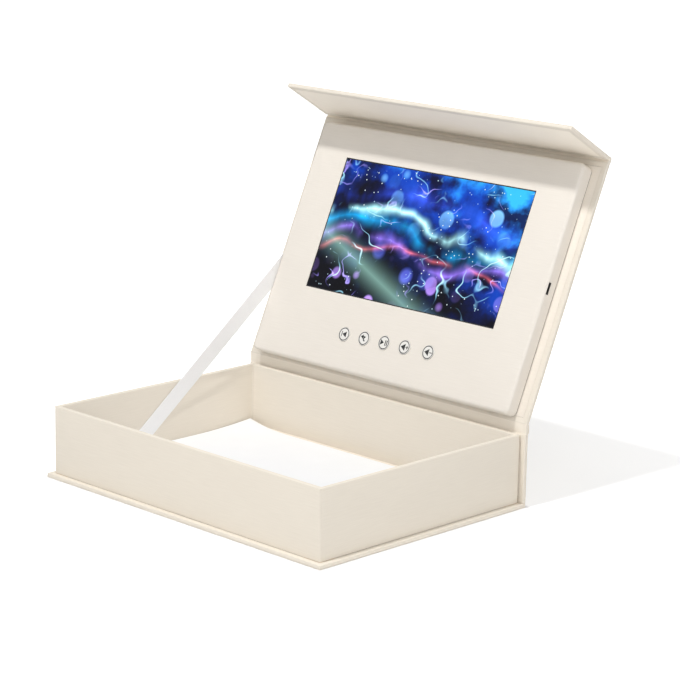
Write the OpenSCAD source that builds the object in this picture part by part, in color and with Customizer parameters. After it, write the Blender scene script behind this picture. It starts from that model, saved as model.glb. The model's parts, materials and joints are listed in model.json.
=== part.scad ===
// Video presentation box: a book-style rigid gift box of paper-covered board, with a flat screen,
// five keys and a charging socket in a padded panel inside its lid.
// Frame: X to the right along the front, Y to the back, Z up.
// The origin is the middle of the underside of the base. Sizes are in millimetres.
// The box is drawn open, with its lid held back by the ribbon.

/* [Case boards] */
// Depth of the tray, front to back, over its paper
tray_d = 160.5; // [152:0.5:190]
// Height of the tray above the base
tray_h = 41.2; // [34:0.2:60]
// Ledge of the case past the tray at the front and the sides
ledge = 3.3; // [2:0.1:6]
// Grey board inside the base, spine, lid and flap
case_core = 2.1; // [1.8:0.1:2.6]
// Thickness of the covering paper
paper = 0.25; // [0.15:0.05:0.3]
// Margin from a case board's edge to the edge of its inner sheet
liner_inset = 3.5; // [2:0.5:6]
// Gap between the tray's back wall and the spine
spine_gap = 0.5; // [0.3:0.1:0.8]

/* [Tray] */
// Grey board inside the tray's walls
wall_core = 2.3; // [1.8:0.1:2.8]
// Grey board of the tray's floor
floor_core = 2.2; // [1.6:0.1:3]
// Radius of the tray's outer corners seen from above
tray_corner_r = 1.2; // [0.8:0.1:2]
// Length of one leg of a corner tape
tape_leg = 12; // [8:1:18]
// Thickness of the corner tape
tape_t = 0.1; // [0.05:0.05:0.1]
// Gap from the rim to the top of a corner tape
tape_drop = 4; // [2:1:8]

/* [Foam sheet] */
// Thickness of the white foam sheet in the tray
pad_t = 2.2; // [1.5:0.1:5]
// Gap between the foam sheet and the side and front walls
pad_side_gap = 0.4; // [0.3:0.1:2]
// Gap between the foam sheet and the back wall
pad_back_gap = 6; // [3:0.5:12]
// Height by which the back left corner of the foam sheet curls up
pad_curl = 2.2; // [0:0.1:3]
// Reach of that curl from the corner
pad_curl_reach = 34; // [15:1:60]
// Distance by which that corner slips back as it curls
pad_slip = 3.2; // [0:0.1:5]
// Width of the soft rounding along the foam sheet's edge
pad_soft = 3; // [1:0.5:6]

/* [Lid hinge] */
// Angle through which the lid is open from closed
lid_open = 113.9; // [100:0.1:118]
// Distance of the hinge line in front of the spine's outer face
hinge_in = 1.5; // [1.3:0.1:1.8]
// Height of the hinge line above the tray's rim
hinge_up = 2.5; // [2.2:0.1:2.9]
// Distance from the hinge line to the lid's board
hinge_gap = 3; // [2.6:0.1:3.4]
// Gap between the tray's rim and the closed lid
seat_gap = 0.3; // [0.2:0.1:0.6]
// Thickness of the doubled paper that forms a hinge
hinge_paper = 0.4; // [0.3:0.1:0.5]

/* [Front flap] */
// Height of the closed flap's outer face, with the lid's board
flap_h = 43.8; // [34:0.1:44]
// Fold of the flap from lying flat with the lid
flap_fold = 83; // [70:0.1:90]
// Distance from the flap's fold line to the boards on either side
fold_gap = 2; // [1.6:0.1:2.6]
// Gap between the closed flap and the tray's front wall
flap_clear = 0.4; // [0.3:0.1:1]
// Distance of each magnet from the middle of the flap
magnet_x = 75; // [40:1:100]
// Distance of the magnets from the flap's free edge
magnet_edge = 13; // [9:0.5:20]
// Diameter of a flap magnet
magnet_d = 12; // [8:0.5:15]
// Thickness of a flap magnet
magnet_t = 1.5; // [1:0.1:1.6]
// Width of a steel catch plate in the front wall
plate_w = 18; // [12:1:26]
// Height of a steel catch plate
plate_h = 12; // [8:1:16]
// Thickness of a steel catch plate
plate_t = 0.8; // [0.5:0.1:1.2]

/* [Screen panel] */
// Width of the panel past the lit picture, at each side
panel_margin = 29.2; // [27:0.1:36]
// Gap between the panel and the tray's side walls when closed
panel_side_gap = 2.9; // [2:0.1:6]
// Rise of the panel's face above the lid's inner sheet
panel_rise = 9; // [8.6:0.1:11]
// Gap between the panel and the tray's back wall when closed
panel_back_gap = 0.8; // [0.6:0.1:2]
// Gap between the panel and the tray's front wall when closed
panel_front_gap = 2.2; // [1:0.1:5]
// Radius of the panel's corners seen from the front
panel_corner_r = 3.6; // [2.6:0.1:6]
// Radius of the soft edge round the panel's face
panel_edge_r = 2; // [1.2:0.1:3.2]
// Thickness of the panel's face board
face_t = 1.5; // [1.2:0.1:1.8]
// Width of the foam strips round the inside of the panel
rail_w = 4; // [3:0.5:5]

/* [Screen] */
// Width of the lit picture
picture_w = 154.2; // [140:0.1:156]
// Height of the lit picture
picture_h = 83.4; // [80:0.1:88]
// Distance of the picture's lower edge above the panel's lower edge
picture_up = 46.8; // [44:0.1:52]
// Offset of the picture to the right of the panel's middle
picture_x = 0.3; // [-3:0.1:3]
// Black border of the screen that shows round the picture
border = 0.7; // [0.3:0.1:1.5]
// Overlap of the covering paper over the glass
glass_lap = 1.6; // [1:0.1:2.5]
// Thickness of the screen's glass
glass_t = 1.4; // [1:0.1:1.4]
// Thickness of the backlight behind the glass
backlight_t = 3; // [2:0.1:3.6]
// Margin of the backlight past the glass at the sides and top
backlight_edge = 1.5; // [1:0.1:2.5]
// Depth of the driver strip under the glass
driver_edge = 6.5; // [4:0.5:8]
// Thickness of the screen's steel frame
frame_t = 0.4; // [0.3:0.1:0.6]

/* [Keys] */
// Diameter of a key
key_d = 8.8; // [7:0.1:10]
// Distance between neighbouring keys
key_pitch = 16.7; // [14:0.1:20]
// Distance by which the last key stands further off
key_last_gap = 2.4; // [0:0.1:4]
// Rise of the row of keys from one key to the next
key_rise = 0.34; // [-0.5:0.02:0.5]
// Distance of the row of keys above the panel's lower edge
key_up = 23.1; // [20:0.1:26]
// Offset of the middle key to the right of the panel's middle
key_x = 0.1; // [-3:0.1:3]
// Height of a key above the panel's face
key_proud = 0.5; // [0.4:0.1:1]
// Gap round a key in its hole
key_gap = 0.15; // [0.1:0.05:0.3]
// Width of the lip that keeps a key in the panel
key_lip = 1.1; // [0.8:0.1:1.6]
// Thickness of that lip
key_lip_t = 0.8; // [0.6:0.1:1]
// Travel of a key
key_travel = 0.3; // [0.2:0.05:0.35]
// Side of a key switch
switch_w = 6; // [4.5:0.5:7]
// Height of a key switch without its plunger
switch_h = 3.5; // [2.5:0.1:3.6]
// Diameter of a switch's plunger
plunger_d = 3.4; // [2:0.1:4]
// Length of a plunger above its switch
plunger_h = 0.6; // [0.5:0.1:0.8]

/* [Electronics] */
// Thickness of a circuit board
board_t = 1; // [0.8:0.1:1.2]
// Gap between the screen's frame and the control board
control_gap = 3; // [2:0.1:5]
// Gap between the control board and the right foam strip
control_rail_gap = 0.4; // [0.2:0.1:1]
// Length of the control board
control_l = 58; // [50:1:64]
// Length of the control board past the middle of the slot
control_past = 18; // [8:1:24]
// Height of the control board's underside above the lid's inner sheet
control_up = 4; // [2.5:0.1:4.2]
// Distance of the charging slot above the panel's lower edge
slot_up = 76.4; // [60:0.2:100]
// Length of the slot in the panel's side
slot_l = 7.4; // [7:0.1:8]
// Height of the slot in the panel's side
slot_h = 2.2; // [2:0.1:2.6]
// Length of the charging socket along the panel's side
socket_l = 7.6; // [7.4:0.1:7.8]
// Height of the charging socket
socket_h = 2.5; // [2.4:0.1:2.6]
// Depth of the charging socket
socket_d = 5.6; // [5:0.1:6]
// Setback of the socket's mouth from the panel's side
socket_back = 0.6; // [0.4:0.1:1]
// Wall of the socket's steel shell
socket_wall = 0.3; // [0.2:0.05:0.4]
// Gap between the battery and the left foam strip
battery_rail_gap = 2; // [1:0.1:4]
// Gap between the battery and the key board
battery_key_gap = 10; // [8:0.5:14]
// Width of the battery
battery_h = 26; // [18:1:27]
// Thickness of the battery
battery_t = 4.5; // [3:0.1:5]
// Diameter of the loudspeaker
speaker_d = 26; // [20:0.5:27]
// Depth of the loudspeaker
speaker_t = 5; // [4:0.1:5.6]
// Distance of the loudspeaker's middle from the right foam strip
speaker_in = 30; // [28:1:36]
// Height of a lead over the lid's inner sheet
lead_t = 1; // [0.8:0.1:1.2]

/* [Ribbon] */
// Width of the ribbon
ribbon_w = 10.5; // [6:0.5:14]
// Thickness of the ribbon
ribbon_t = 0.3; // [0.2:0.1:0.4]
// Distance behind the tray's front at which the ribbon meets the floor
ribbon_foot = 55.8; // [40:0.2:80]
// Distance from the hinge line to the ribbon's upper end, along the lid
ribbon_top = 71.5; // [50:0.1:100]

/* [Hidden] */

$fn = 48;
// Steps of the soft edge round the panel's face
edge_steps = 6;
// Cells of the foam sheet's top along its width and depth
pad_cells = [26, 18];

cream = [0.93, 0.90, 0.83];
cream_inside = [0.94, 0.90, 0.85];
greyboard = [0.62, 0.60, 0.56];
steel = [0.72, 0.73, 0.75];
board_green = [0.10, 0.32, 0.22];

// Thickness of a covered case board, and of a covered tray wall
case_t = case_core + 2 * paper;
wall_t = wall_core + 2 * paper;

// Width of the panel round the screen, of the tray round the panel, and inside the tray
panel_w = picture_w + 2 * panel_margin;
inner_x = panel_w / 2 + panel_side_gap;
tray_w = 2 * (inner_x + wall_t);

// Plan of the case: the base runs from the front ledge to the spine's outer face
case_w = tray_w + 2 * ledge;
case_d = ledge + tray_d + spine_gap + case_t;
back_y = case_d / 2;
tray_y0 = -back_y + ledge;
tray_y1 = tray_y0 + tray_d;
rim_z = case_t + tray_h;
floor_z = case_t + floor_core + paper;

// Hinge line of the lid, and the lid's inner face in the lid's own frame:
// x to the right, v up the lid from the hinge line, n out of its inner face
hinge_y = back_y - hinge_in;
hinge_z = rim_z + hinge_up;
hinge_drop = hinge_up - seat_gap;

// Fold line of the flap in the lid's frame
fold_v = hinge_y - tray_y0 + flap_clear + case_t / 2;
fold_n = -case_t / 2;
lid_v0 = hinge_gap;
lid_v1 = fold_v - fold_gap;
flap_u1 = flap_h - case_t / 2;

// Panel in the lid's frame
panel_v0 = hinge_y - (tray_y1 - wall_t) + panel_back_gap;
panel_v1 = hinge_y - (tray_y0 + wall_t) - panel_front_gap;
panel_l = panel_v1 - panel_v0;
face_n1 = panel_rise - paper;
face_n0 = face_n1 - face_t;
rail_x = panel_w / 2 - paper - rail_w;
rail_v0 = panel_v0 + paper + rail_w;
rail_v1 = panel_v1 - paper - rail_w;

// Screen in the lid's frame
picture_v0 = panel_v0 + picture_up;
picture_v1 = picture_v0 + picture_h;
glass_w = picture_w + 2 * (border + glass_lap);
glass_v0 = picture_v0 - border - glass_lap;
glass_v1 = picture_v1 + border + glass_lap;
backlight_w = glass_w + 2 * backlight_edge;
backlight_v0 = glass_v0 - driver_edge;
backlight_v1 = glass_v1 + backlight_edge;
backlight_n0 = face_n0 - backlight_t;
frame_n0 = backlight_n0 - frame_t;
// Running gap between the glass and the window in the face board
glass_gap = 0.1;

// Keys in the lid's frame
key_v = panel_v0 + key_up;
key_count = 5;
plunger_n1 = board_t + switch_h + plunger_h;
// Depth of the plunger in its switch, and the slack under it at the end of its travel
plunger_root = 0.4;
plunger_slack = 0.2;
plunger_gap = 0.1;
key_board_end = 6;
key_board_w = (key_count - 1) * key_pitch + 2 * key_board_end;
key_board_l = 11;
key_board_x0 = key_x - key_board_w / 2;
key_board_x1 = key_x + key_board_w / 2 + key_last_gap;
// Slack between the lip of a key and the face board
lip_slack = 0.1;

// Control board, in the bay between the screen and the right rail, with the socket on its edge
screen_x1 = picture_x + backlight_w / 2 + frame_t;
control_x0 = screen_x1 + control_gap;
control_x1 = rail_x - control_rail_gap;
control_w = control_x1 - control_x0;
control_v1 = panel_v0 + slot_up + control_past;
control_v0 = control_v1 - control_l;
control_n1 = control_up + board_t;
socket_x1 = panel_w / 2 - socket_back;
socket_v = panel_v0 + slot_up;
slot_n = control_n1 + socket_h / 2;
socket_gap = 0.2;

// Feet, plugs, flat cable and pairs of leads share out the control board's lower edge
control_foot = 0.235 * control_w;
key_cable_w = 0.295 * control_w;
key_plug_w = 0.34 * control_w;
key_cable_t = 0.4;
cable_x = control_x0 + 0.412 * control_w;
lead_w = 0.059 * control_w;
lead_pitch = 0.071 * control_w;
lead_plug_w = 0.165 * control_w;
battery_lead_x = control_x1 - 0.153 * control_w;
speaker_lead_x = control_x1 - 0.33 * control_w;

// Battery on the left and loudspeaker on the right of the keys
battery_x0 = -rail_x + battery_rail_gap;
battery_x1 = key_board_x0 - battery_key_gap;
speaker_x = rail_x - speaker_in;
speaker_magnet_d = 15;
speaker_rim_t = 2.4;
speaker_bowl = 1.5;
speaker_rim_w = 1.5;
cone_d = speaker_d - 2 * speaker_rim_w;
cone_drop = 0.5;
lower_bay_v = (rail_v0 + backlight_v0) / 2;
lead_gap = 1;

// Ribbon: the lower end on the left wall, the upper end on the panel's side
ribbon_low = [tray_y0 + ribbon_foot, floor_z];
ribbon_high = lid_point(ribbon_top, 0);
ribbon_dir = (ribbon_high - ribbon_low) / norm(ribbon_high - ribbon_low);
// Gap between the ribbon's cut end and the lid's inner sheet, and between it and the panel's side
ribbon_end_gap = 0.3;
ribbon_side_gap = 0.05;
// Shares of the ribbon's length at which it leaves the wall and reaches the panel
ribbon_on_wall = 0.05;
ribbon_on_panel = 0.86;

// A point of the lid's frame, as [y, z] with the lid open
function lid_point(v, n) = [
    hinge_y + v * cos(180 - lid_open) - (n + hinge_drop) * sin(180 - lid_open),
    hinge_z + v * sin(180 - lid_open) + (n + hinge_drop) * cos(180 - lid_open)
];

// Where the line from p along d meets the plane at height n over the lid's inner sheet
function reach_lid(p, d, n) =
    let (
        q = lid_point(0, n),
        out = [-sin(180 - lid_open), cos(180 - lid_open)]
    )
    p + d * ((q - p) * out) / (d * out);

// Puts children drawn in the lid's frame in their place
module on_lid() {
    translate([0, hinge_y, hinge_z])
        rotate([180 - lid_open, 0, 0])
            translate([0, 0, hinge_drop])
                children();
}

// Puts children drawn along the flap, from its fold line, in their place
module on_flap() {
    on_lid()
        translate([0, fold_v, fold_n])
            rotate([flap_fold, 0, 0])
                children();
}

// A box from its lowest to its highest corner
module block(low, high) {
    translate(low)
        cube(high - low);
}

// Stretches a drawing in the Y and Z plane along X, centred
module across(width) {
    translate([-width / 2, 0, 0])
        rotate([90, 0, 90])
            linear_extrude(height = width)
                children();
}

// A box with its upright edges rounded
module round_block(low, high, r) {
    translate([0, 0, low[2]])
        linear_extrude(height = high[2] - low[2])
            hull()
                for (x = [low[0] + r, high[0] - r], y = [low[1] + r, high[1] - r])
                    translate([x, y])
                        circle(r = r, $fn = 32);
}

// Grey board of a case panel, from low to high over its paper
module case_board(low, high) {
    skin = [paper, paper, paper];
    block(low + skin, high - skin);
}

// The sheet on the inner side of a case panel, whose inner side is up
module case_liner(low, high) {
    block([low[0] + liner_inset, low[1] + liner_inset, high[2] - paper],
          [high[0] - liner_inset, high[1] - liner_inset, high[2]]);
}

// The paper turned round a case board, open where the inner sheet lies
module case_cover(low, high) {
    difference() {
        block(low, high);
        case_board(low, high);
        case_liner(low, high);
    }
}

// Base: lies flat under the tray and the spine
base_low = [-case_w / 2, -case_d / 2, 0];
base_high = [case_w / 2, case_d / 2, case_t];

module base_board() {
    color(greyboard) case_board(base_low, base_high);
}

module base_cover() {
    color(cream) case_cover(base_low, base_high);
}

module base_liner() {
    color(cream_inside) case_liner(base_low, base_high);
}

// Spine: stands behind the tray, with its inner side to the front
spine_low = [-case_w / 2, case_t, 0];
spine_high = [case_w / 2, rim_z, case_t];

module on_spine() {
    translate([0, back_y, 0])
        rotate([90, 0, 0])
            children();
}

module spine_board() {
    color(greyboard) on_spine() case_board(spine_low, spine_high);
}

module spine_cover() {
    color(cream) on_spine() case_cover(spine_low, spine_high);
}

module spine_liner() {
    color(cream_inside) on_spine() case_liner(spine_low, spine_high);
}

// Tray walls: the front and back boards run the full width, the side boards stand between them
wall_z1 = rim_z - paper;
wall_x1 = tray_w / 2 - paper;
wall_x0 = wall_x1 - wall_core;
wall_y0 = tray_y0 + paper;
wall_y1 = tray_y1 - paper;
wall_corner_r = tray_corner_r - paper;

// Outline of the four wall boards, grown by more all round
module wall_outline(z0, z1, more = 0) {
    round_block([-wall_x1 - more, wall_y0 - more, z0], [wall_x1 + more, wall_y1 + more, z1],
                wall_corner_r + more);
}

module tray_floor() {
    color(greyboard)
        block([-wall_x0, wall_y0 + wall_core, case_t],
              [wall_x0, wall_y1 - wall_core, case_t + floor_core]);
}

module tray_wall_front() {
    color(greyboard)
        difference() {
            intersection() {
                wall_outline(case_t, wall_z1);
                block([-tray_w, wall_y0, case_t], [tray_w, wall_y0 + wall_core, wall_z1]);
            }
            catch_plates();
        }
}

module tray_wall_back() {
    color(greyboard)
        intersection() {
            wall_outline(case_t, wall_z1);
            block([-tray_w, wall_y1 - wall_core, case_t], [tray_w, wall_y1, wall_z1]);
        }
}

module tray_side_board() {
    block([wall_x0, wall_y0 + wall_core, case_t], [wall_x1, wall_y1 - wall_core, wall_z1]);
}

module tray_wall_left() {
    color(greyboard)
        mirror([1, 0, 0])
            tray_side_board();
}

module tray_wall_right() {
    color(greyboard)
        difference() {
            tray_side_board();
            sensor_magnet();
        }
}

// Tapes that hold the tray's corners together, under its paper
module tray_corner_tapes() {
    color("burlywood")
        for (sx = [-1, 1], end = [0, 1])
            difference() {
                intersection() {
                    wall_outline(case_t, rim_z - tape_drop, tape_t);
                    corner_tape_block(sx, end);
                }
                wall_outline(0, rim_z);
            }
}

module corner_tape_block(sx, end) {
    y_edge = end == 0 ? wall_y0 - tape_t : wall_y1 + tape_t - tape_leg;
    x_edge = sx < 0 ? -wall_x1 - tape_t : wall_x1 + tape_t - tape_leg;
    translate([x_edge, y_edge, case_t])
        cube([tape_leg, tape_leg, tray_h]);
}

// Paper over the tray: up the outside, over the rim and down the inside to the floor board
module tray_wrap() {
    color(cream)
        difference() {
            round_block([-tray_w / 2, tray_y0, case_t], [tray_w / 2, tray_y1, rim_z], tray_corner_r);
            block([-inner_x, tray_y0 + wall_t, 0], [inner_x, tray_y1 - wall_t, rim_z + 1]);
            wall_outline(0, case_t + floor_core);
            difference() {
                wall_outline(0, wall_z1);
                block([-wall_x0, wall_y0 + wall_core, -1], [wall_x0, wall_y1 - wall_core, rim_z + 1]);
            }
            tray_corner_tapes();
        }
}

module tray_lining() {
    color(cream_inside)
        block([-inner_x, tray_y0 + wall_t, case_t + floor_core],
              [inner_x, tray_y1 - wall_t, floor_z]);
}

// Foam sheet: flat on the floor, soft along its edges, its back left corner curling up
pad_low = [-inner_x + pad_side_gap, tray_y0 + wall_t + pad_side_gap];
pad_high = [inner_x - pad_side_gap, tray_y1 - wall_t - pad_back_gap];

function pad_edge(d) = d >= pad_soft ? 1 : sqrt(1 - pow(1 - d / pad_soft, 2)) * 0.5 + 0.5;

// How far a point of the sheet takes part in the curl, from 0 to 1 in the corner
function pad_lift(x, y) = pow(max(0, 1 - norm([x - pad_low[0], y - pad_high[1]]) / pad_curl_reach), 2);

function pad_rise(x, y) =
    let (edge = min(x - pad_low[0], pad_high[0] - x, y - pad_low[1], pad_high[1] - y))
    pad_t * pad_edge(edge) + pad_curl * pad_lift(x, y);

// Grid lines crowd at both edges, where the sheet rounds off
function pad_line(i, count, low, high) =
    i <= 2 ? low + pad_soft * i / 2
    : i >= count - 2 ? high - pad_soft * (count - i) / 2
    : low + pad_soft + (high - low - 2 * pad_soft) * (i - 2) / (count - 4);

module foam_sheet() {
    nx = pad_cells[0];
    ny = pad_cells[1];
    top = [
        for (j = [0:ny], i = [0:nx])
            let (
                x = pad_line(i, nx, pad_low[0], pad_high[0]),
                y = pad_line(j, ny, pad_low[1], pad_high[1])
            )
            [x, y + pad_slip * pad_lift(x, y), floor_z + pad_rise(x, y)]
    ];
    rim = concat(
        [for (i = [0:nx - 1]) i],
        [for (j = [0:ny - 1]) j * (nx + 1) + nx],
        [for (i = [nx:-1:1]) ny * (nx + 1) + i],
        [for (j = [ny:-1:1]) j * (nx + 1)]
    );
    under = [for (k = rim) [top[k][0], top[k][1], floor_z]];
    middle = [(pad_low[0] + pad_high[0]) / 2, (pad_low[1] + pad_high[1]) / 2, floor_z];
    count = len(rim);
    first = len(top);
    faces = concat(
        [for (j = [0:ny - 1], i = [0:nx - 1]) let (a = j * (nx + 1) + i) [a, a + nx + 1, a + nx + 2]],
        [for (j = [0:ny - 1], i = [0:nx - 1]) let (a = j * (nx + 1) + i) [a, a + nx + 2, a + 1]],
        [for (k = [0:count - 1]) [rim[k], rim[(k + 1) % count], first + (k + 1) % count]],
        [for (k = [0:count - 1]) [rim[k], first + (k + 1) % count, first + k]],
        [for (k = [0:count - 1]) [first + count, first + k, first + (k + 1) % count]]
    );
    color("white") polyhedron(points = concat(top, under, [middle]), faces = faces, convexity = 4);
}

// Steel plates behind the paper of the front wall, where the flap's magnets land
catch_z = rim_z + seat_gap + case_t / 2 - (flap_u1 - magnet_edge);

module catch_plates() {
    color(steel)
        for (sx = [-1, 1])
            block([sx * magnet_x - plate_w / 2, wall_y0, catch_z - plate_h / 2],
                  [sx * magnet_x + plate_w / 2, wall_y0 + plate_t, catch_z + plate_h / 2]);
}

// Small magnet in the right wall that tells the lid's sensor when the box is shut
sensor_t = 1.5;
sensor_l = 8;
sensor_h = 4;
sensor_drop = 5;
sensor_up = 12;
sensor_y = hinge_y - (control_v0 + sensor_up);

module sensor_magnet() {
    color(steel)
        block([wall_x0, sensor_y - sensor_l / 2, rim_z - sensor_drop - sensor_h],
              [wall_x0 + sensor_t, sensor_y + sensor_l / 2, rim_z - sensor_drop]);
}

// Ribbon: glued to the left wall below and to the panel's left side above
module ribbon_stay() {
    // Each edge of the ribbon is cut level on the floor
    low = [for (s = [-1, 1]) ribbon_low + [s * ribbon_w / 2 / -ribbon_dir[1], 0]];
    high = [for (p = low) reach_lid(p, ribbon_dir, ribbon_end_gap)];
    x_wall = -inner_x;
    x_panel = -panel_w / 2 - ribbon_side_gap - ribbon_t;
    stations = [[0, x_wall], [ribbon_on_wall, x_wall], [ribbon_on_panel, x_panel], [1, x_panel]];
    points = [
        for (st = stations)
            for (k = [0, 1], dx = [0, ribbon_t])
                let (p = low[k] + (high[k] - low[k]) * st[0])
                [st[1] + dx, p[0], p[1]]
    ];
    n = len(stations);
    side = [0, 1, 3, 2];
    faces = concat(
        [[0, 1, 3, 2]],
        [for (i = [0:n - 2], k = [0:3])
            [i * 4 + side[k], (i + 1) * 4 + side[k], (i + 1) * 4 + side[(k + 1) % 4]]],
        [for (i = [0:n - 2], k = [0:3])
            [i * 4 + side[k], (i + 1) * 4 + side[(k + 1) % 4], i * 4 + side[(k + 1) % 4]]],
        [[(n - 1) * 4 + 2, (n - 1) * 4 + 3, (n - 1) * 4 + 1, (n - 1) * 4]]
    );
    color("whitesmoke") polyhedron(points = points, faces = faces, convexity = 4);
}

// Outer hinge paper, from the spine's top edge to the lid's lower edge
module lid_hinge_strip() {
    color(cream)
        across(case_w)
            polygon([
                [back_y, rim_z],
                lid_point(hinge_gap, -case_t),
                lid_point(hinge_gap, hinge_paper - case_t),
                [back_y - hinge_paper, rim_z]
            ]);
}

// Inner hinge paper, from the spine's inner side to the lid's inner sheet
module lid_hinge_lining() {
    spine_in = back_y - case_t;
    color(cream_inside)
        across(case_w)
            polygon([
                [spine_in, rim_z],
                [spine_in + hinge_paper, rim_z],
                lid_point(hinge_gap, -hinge_paper),
                lid_point(hinge_gap, 0)
            ]);
}

// Lid: its inner side is up in the lid's frame
lid_low = [-case_w / 2, lid_v0, -case_t];
lid_high = [case_w / 2, lid_v1, 0];

module lid_board() {
    color(greyboard) on_lid() case_board(lid_low, lid_high);
}

module lid_cover() {
    color(cream) on_lid() case_cover(lid_low, lid_high);
}

module lid_liner() {
    color(cream_inside) on_lid() case_liner(lid_low, lid_high);
}

// Slab with soft corners and a soft edge round its face, standing on the lid's inner sheet
module soft_slab(inset) {
    r = panel_corner_r - inset;
    e = panel_edge_r - inset;
    top = panel_rise - inset;
    hull()
        for (x = [-1, 1], v = [panel_v0 + panel_corner_r, panel_v1 - panel_corner_r])
            translate([x * (panel_w / 2 - panel_corner_r), v, 0]) {
                cylinder(r = r, h = top - e, $fn = 32);
                for (k = [1:edge_steps])
                    let (a = 90 * k / edge_steps)
                    cylinder(r = r - e * (1 - cos(a)), h = top - e + e * sin(a), $fn = 32);
            }
}

// Everything that cuts through the panel's face: the window and the key holes
module face_openings(window_inset) {
    block([picture_x - glass_w / 2 + window_inset, glass_v0 + window_inset, 0],
          [picture_x + glass_w / 2 - window_inset, glass_v1 - window_inset, panel_rise + 1]);
    key_holes();
}

module key_holes() {
    for (k = [0:key_count - 1])
        translate(concat(key_place(k), 0))
            cylinder(d = key_d + 2 * key_gap, h = panel_rise + 1);
}

// Middle of a key in the lid's frame, counted from the left
function key_place(k) =
    let (step = k - (key_count - 1) / 2, last = k == key_count - 1 ? key_last_gap : 0)
    [key_x + step * key_pitch + last, key_v + step * key_rise];

// Slot in the panel's right side for the charging plug
module plug_slot(x0) {
    block([x0, socket_v - slot_l / 2, slot_n - slot_h / 2],
          [panel_w / 2 + 1, socket_v + slot_l / 2, slot_n + slot_h / 2]);
}

// Room for the charging socket behind the slot, in the board and the foam
module socket_bay(x0) {
    block([x0, socket_v - socket_l / 2 - socket_gap, slot_n - socket_h / 2 - socket_gap],
          [panel_w / 2 + 1, socket_v + socket_l / 2 + socket_gap, slot_n + socket_h / 2 + socket_gap]);
}

module panel_face_board() {
    color(greyboard)
        on_lid()
            difference() {
                intersection() {
                    soft_slab(paper);
                    block([-panel_w, 0, face_n0], [panel_w, panel_v1, face_n1]);
                }
                face_openings(-glass_gap);
                socket_bay(socket_x1 - socket_d - glass_gap);
            }
}

module panel_cover() {
    color(cream)
        on_lid()
            difference() {
                soft_slab(0);
                soft_slab(paper);
                face_openings(glass_lap);
                plug_slot(rail_x);
            }
}

// Foam rails that carry the face board round its edge
module panel_rail(low, high) {
    color("dimgray")
        on_lid()
            difference() {
                intersection() {
                    soft_slab(paper);
                    block([low[0], low[1], 0], [high[0], high[1], face_n0]);
                }
                socket_bay(rail_x - rail_w);
            }
}

module panel_rail_left() {
    panel_rail([-panel_w / 2, panel_v0], [-rail_x, panel_v1]);
}

module panel_rail_right() {
    panel_rail([rail_x, panel_v0], [panel_w / 2, panel_v1]);
}

module panel_rail_top() {
    panel_rail([-rail_x, rail_v1], [rail_x, panel_v1]);
}

module panel_rail_bottom() {
    panel_rail([-rail_x, panel_v0], [rail_x, rail_v0]);
}

// Screen: glass in the window of the face board, backlight, steel frame and foam behind it
module screen_glass() {
    color([0.05, 0.07, 0.25])
        on_lid()
            block([picture_x - glass_w / 2, glass_v0, face_n1 - glass_t],
                  [picture_x + glass_w / 2, glass_v1, face_n1]);
}

module screen_backlight() {
    // The glass may be thinner than the face board, and the light guide then comes up to it
    color("whitesmoke")
        on_lid() {
            block([picture_x - backlight_w / 2, backlight_v0, backlight_n0],
                  [picture_x + backlight_w / 2, backlight_v1, face_n0]);
            block([picture_x - glass_w / 2, glass_v0, face_n0],
                  [picture_x + glass_w / 2, glass_v1, face_n1 - glass_t]);
        }
}

module screen_frame() {
    color(steel)
        on_lid()
            difference() {
                block([picture_x - backlight_w / 2 - frame_t, backlight_v0 - frame_t, frame_n0],
                      [picture_x + backlight_w / 2 + frame_t, backlight_v1 + frame_t, face_n0]);
                block([picture_x - backlight_w / 2, backlight_v0, backlight_n0],
                      [picture_x + backlight_w / 2, backlight_v1, face_n0 + 1]);
            }
}

// Width of the foam strips behind the screen's ends
foam_w = 14;

module screen_foam() {
    color("dimgray")
        on_lid()
            for (side = [0, 1]) {
                x0 = side == 0 ? picture_x - backlight_w / 2 : picture_x + backlight_w / 2 - foam_w;
                block([x0, backlight_v0, 0], [x0 + foam_w, backlight_v1, frame_n0]);
            }
}

flex_w = 22;
flex_t = 0.2;
flex_lap = 0.18 * control_w;

// Flat flex from the screen's right side to the control board
module screen_flex() {
    v = (control_v0 + control_v1) / 2;
    color("darkorange")
        on_lid()
            block([screen_x1, v - flex_w / 2, control_n1],
                  [control_x0 + flex_lap, v + flex_w / 2, control_n1 + flex_t]);
}

module control_board() {
    color(board_green)
        on_lid()
            block([control_x0, control_v0, control_up], [control_x1, control_v1, control_n1]);
}

module control_board_feet() {
    color("dimgray")
        on_lid()
            for (p = [[control_x0, control_v0], [control_x0, control_v1 - control_foot],
                      [control_x1 - control_foot, control_v1 - control_foot]])
                block([p[0], p[1], 0], [p[0] + control_foot, p[1] + control_foot, control_up]);
}

// Plugs under the lower edge of the control board, for the battery, the speaker and the keys
module board_plugs() {
    color("ivory")
        on_lid()
            for (p = [[battery_lead_x, lead_plug_w], [speaker_lead_x, lead_plug_w],
                      [cable_x, key_plug_w]])
                block([p[0] - p[1] / 2, control_v0, 0],
                      [p[0] + p[1] / 2, control_v0 + control_foot, control_up]);
}

// Processor, memory, amplifier and lid sensor: place and size of each as shares of the board
chips = [
    [0.26, 0.13, 0.41, 0.12], [0.26, 0.72, 0.35, 0.07],
    [0.72, 0.15, 0.18, 0.07], [0.29, 0.88, 0.23, 0.07]
];
chip_t = 1;

module board_chips() {
    color("black")
        on_lid()
            for (c = chips)
                block([control_x0 + c[0] * control_w, control_v0 + c[1] * control_l, control_n1],
                      [control_x0 + (c[0] + c[2]) * control_w, control_v0 + (c[1] + c[3]) * control_l,
                       control_n1 + chip_t]);
}

// Tongue of the charging socket, and the shell's closed back
tongue_h = 0.6;
tongue_back = 0.8;
socket_rear = 1;

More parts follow.
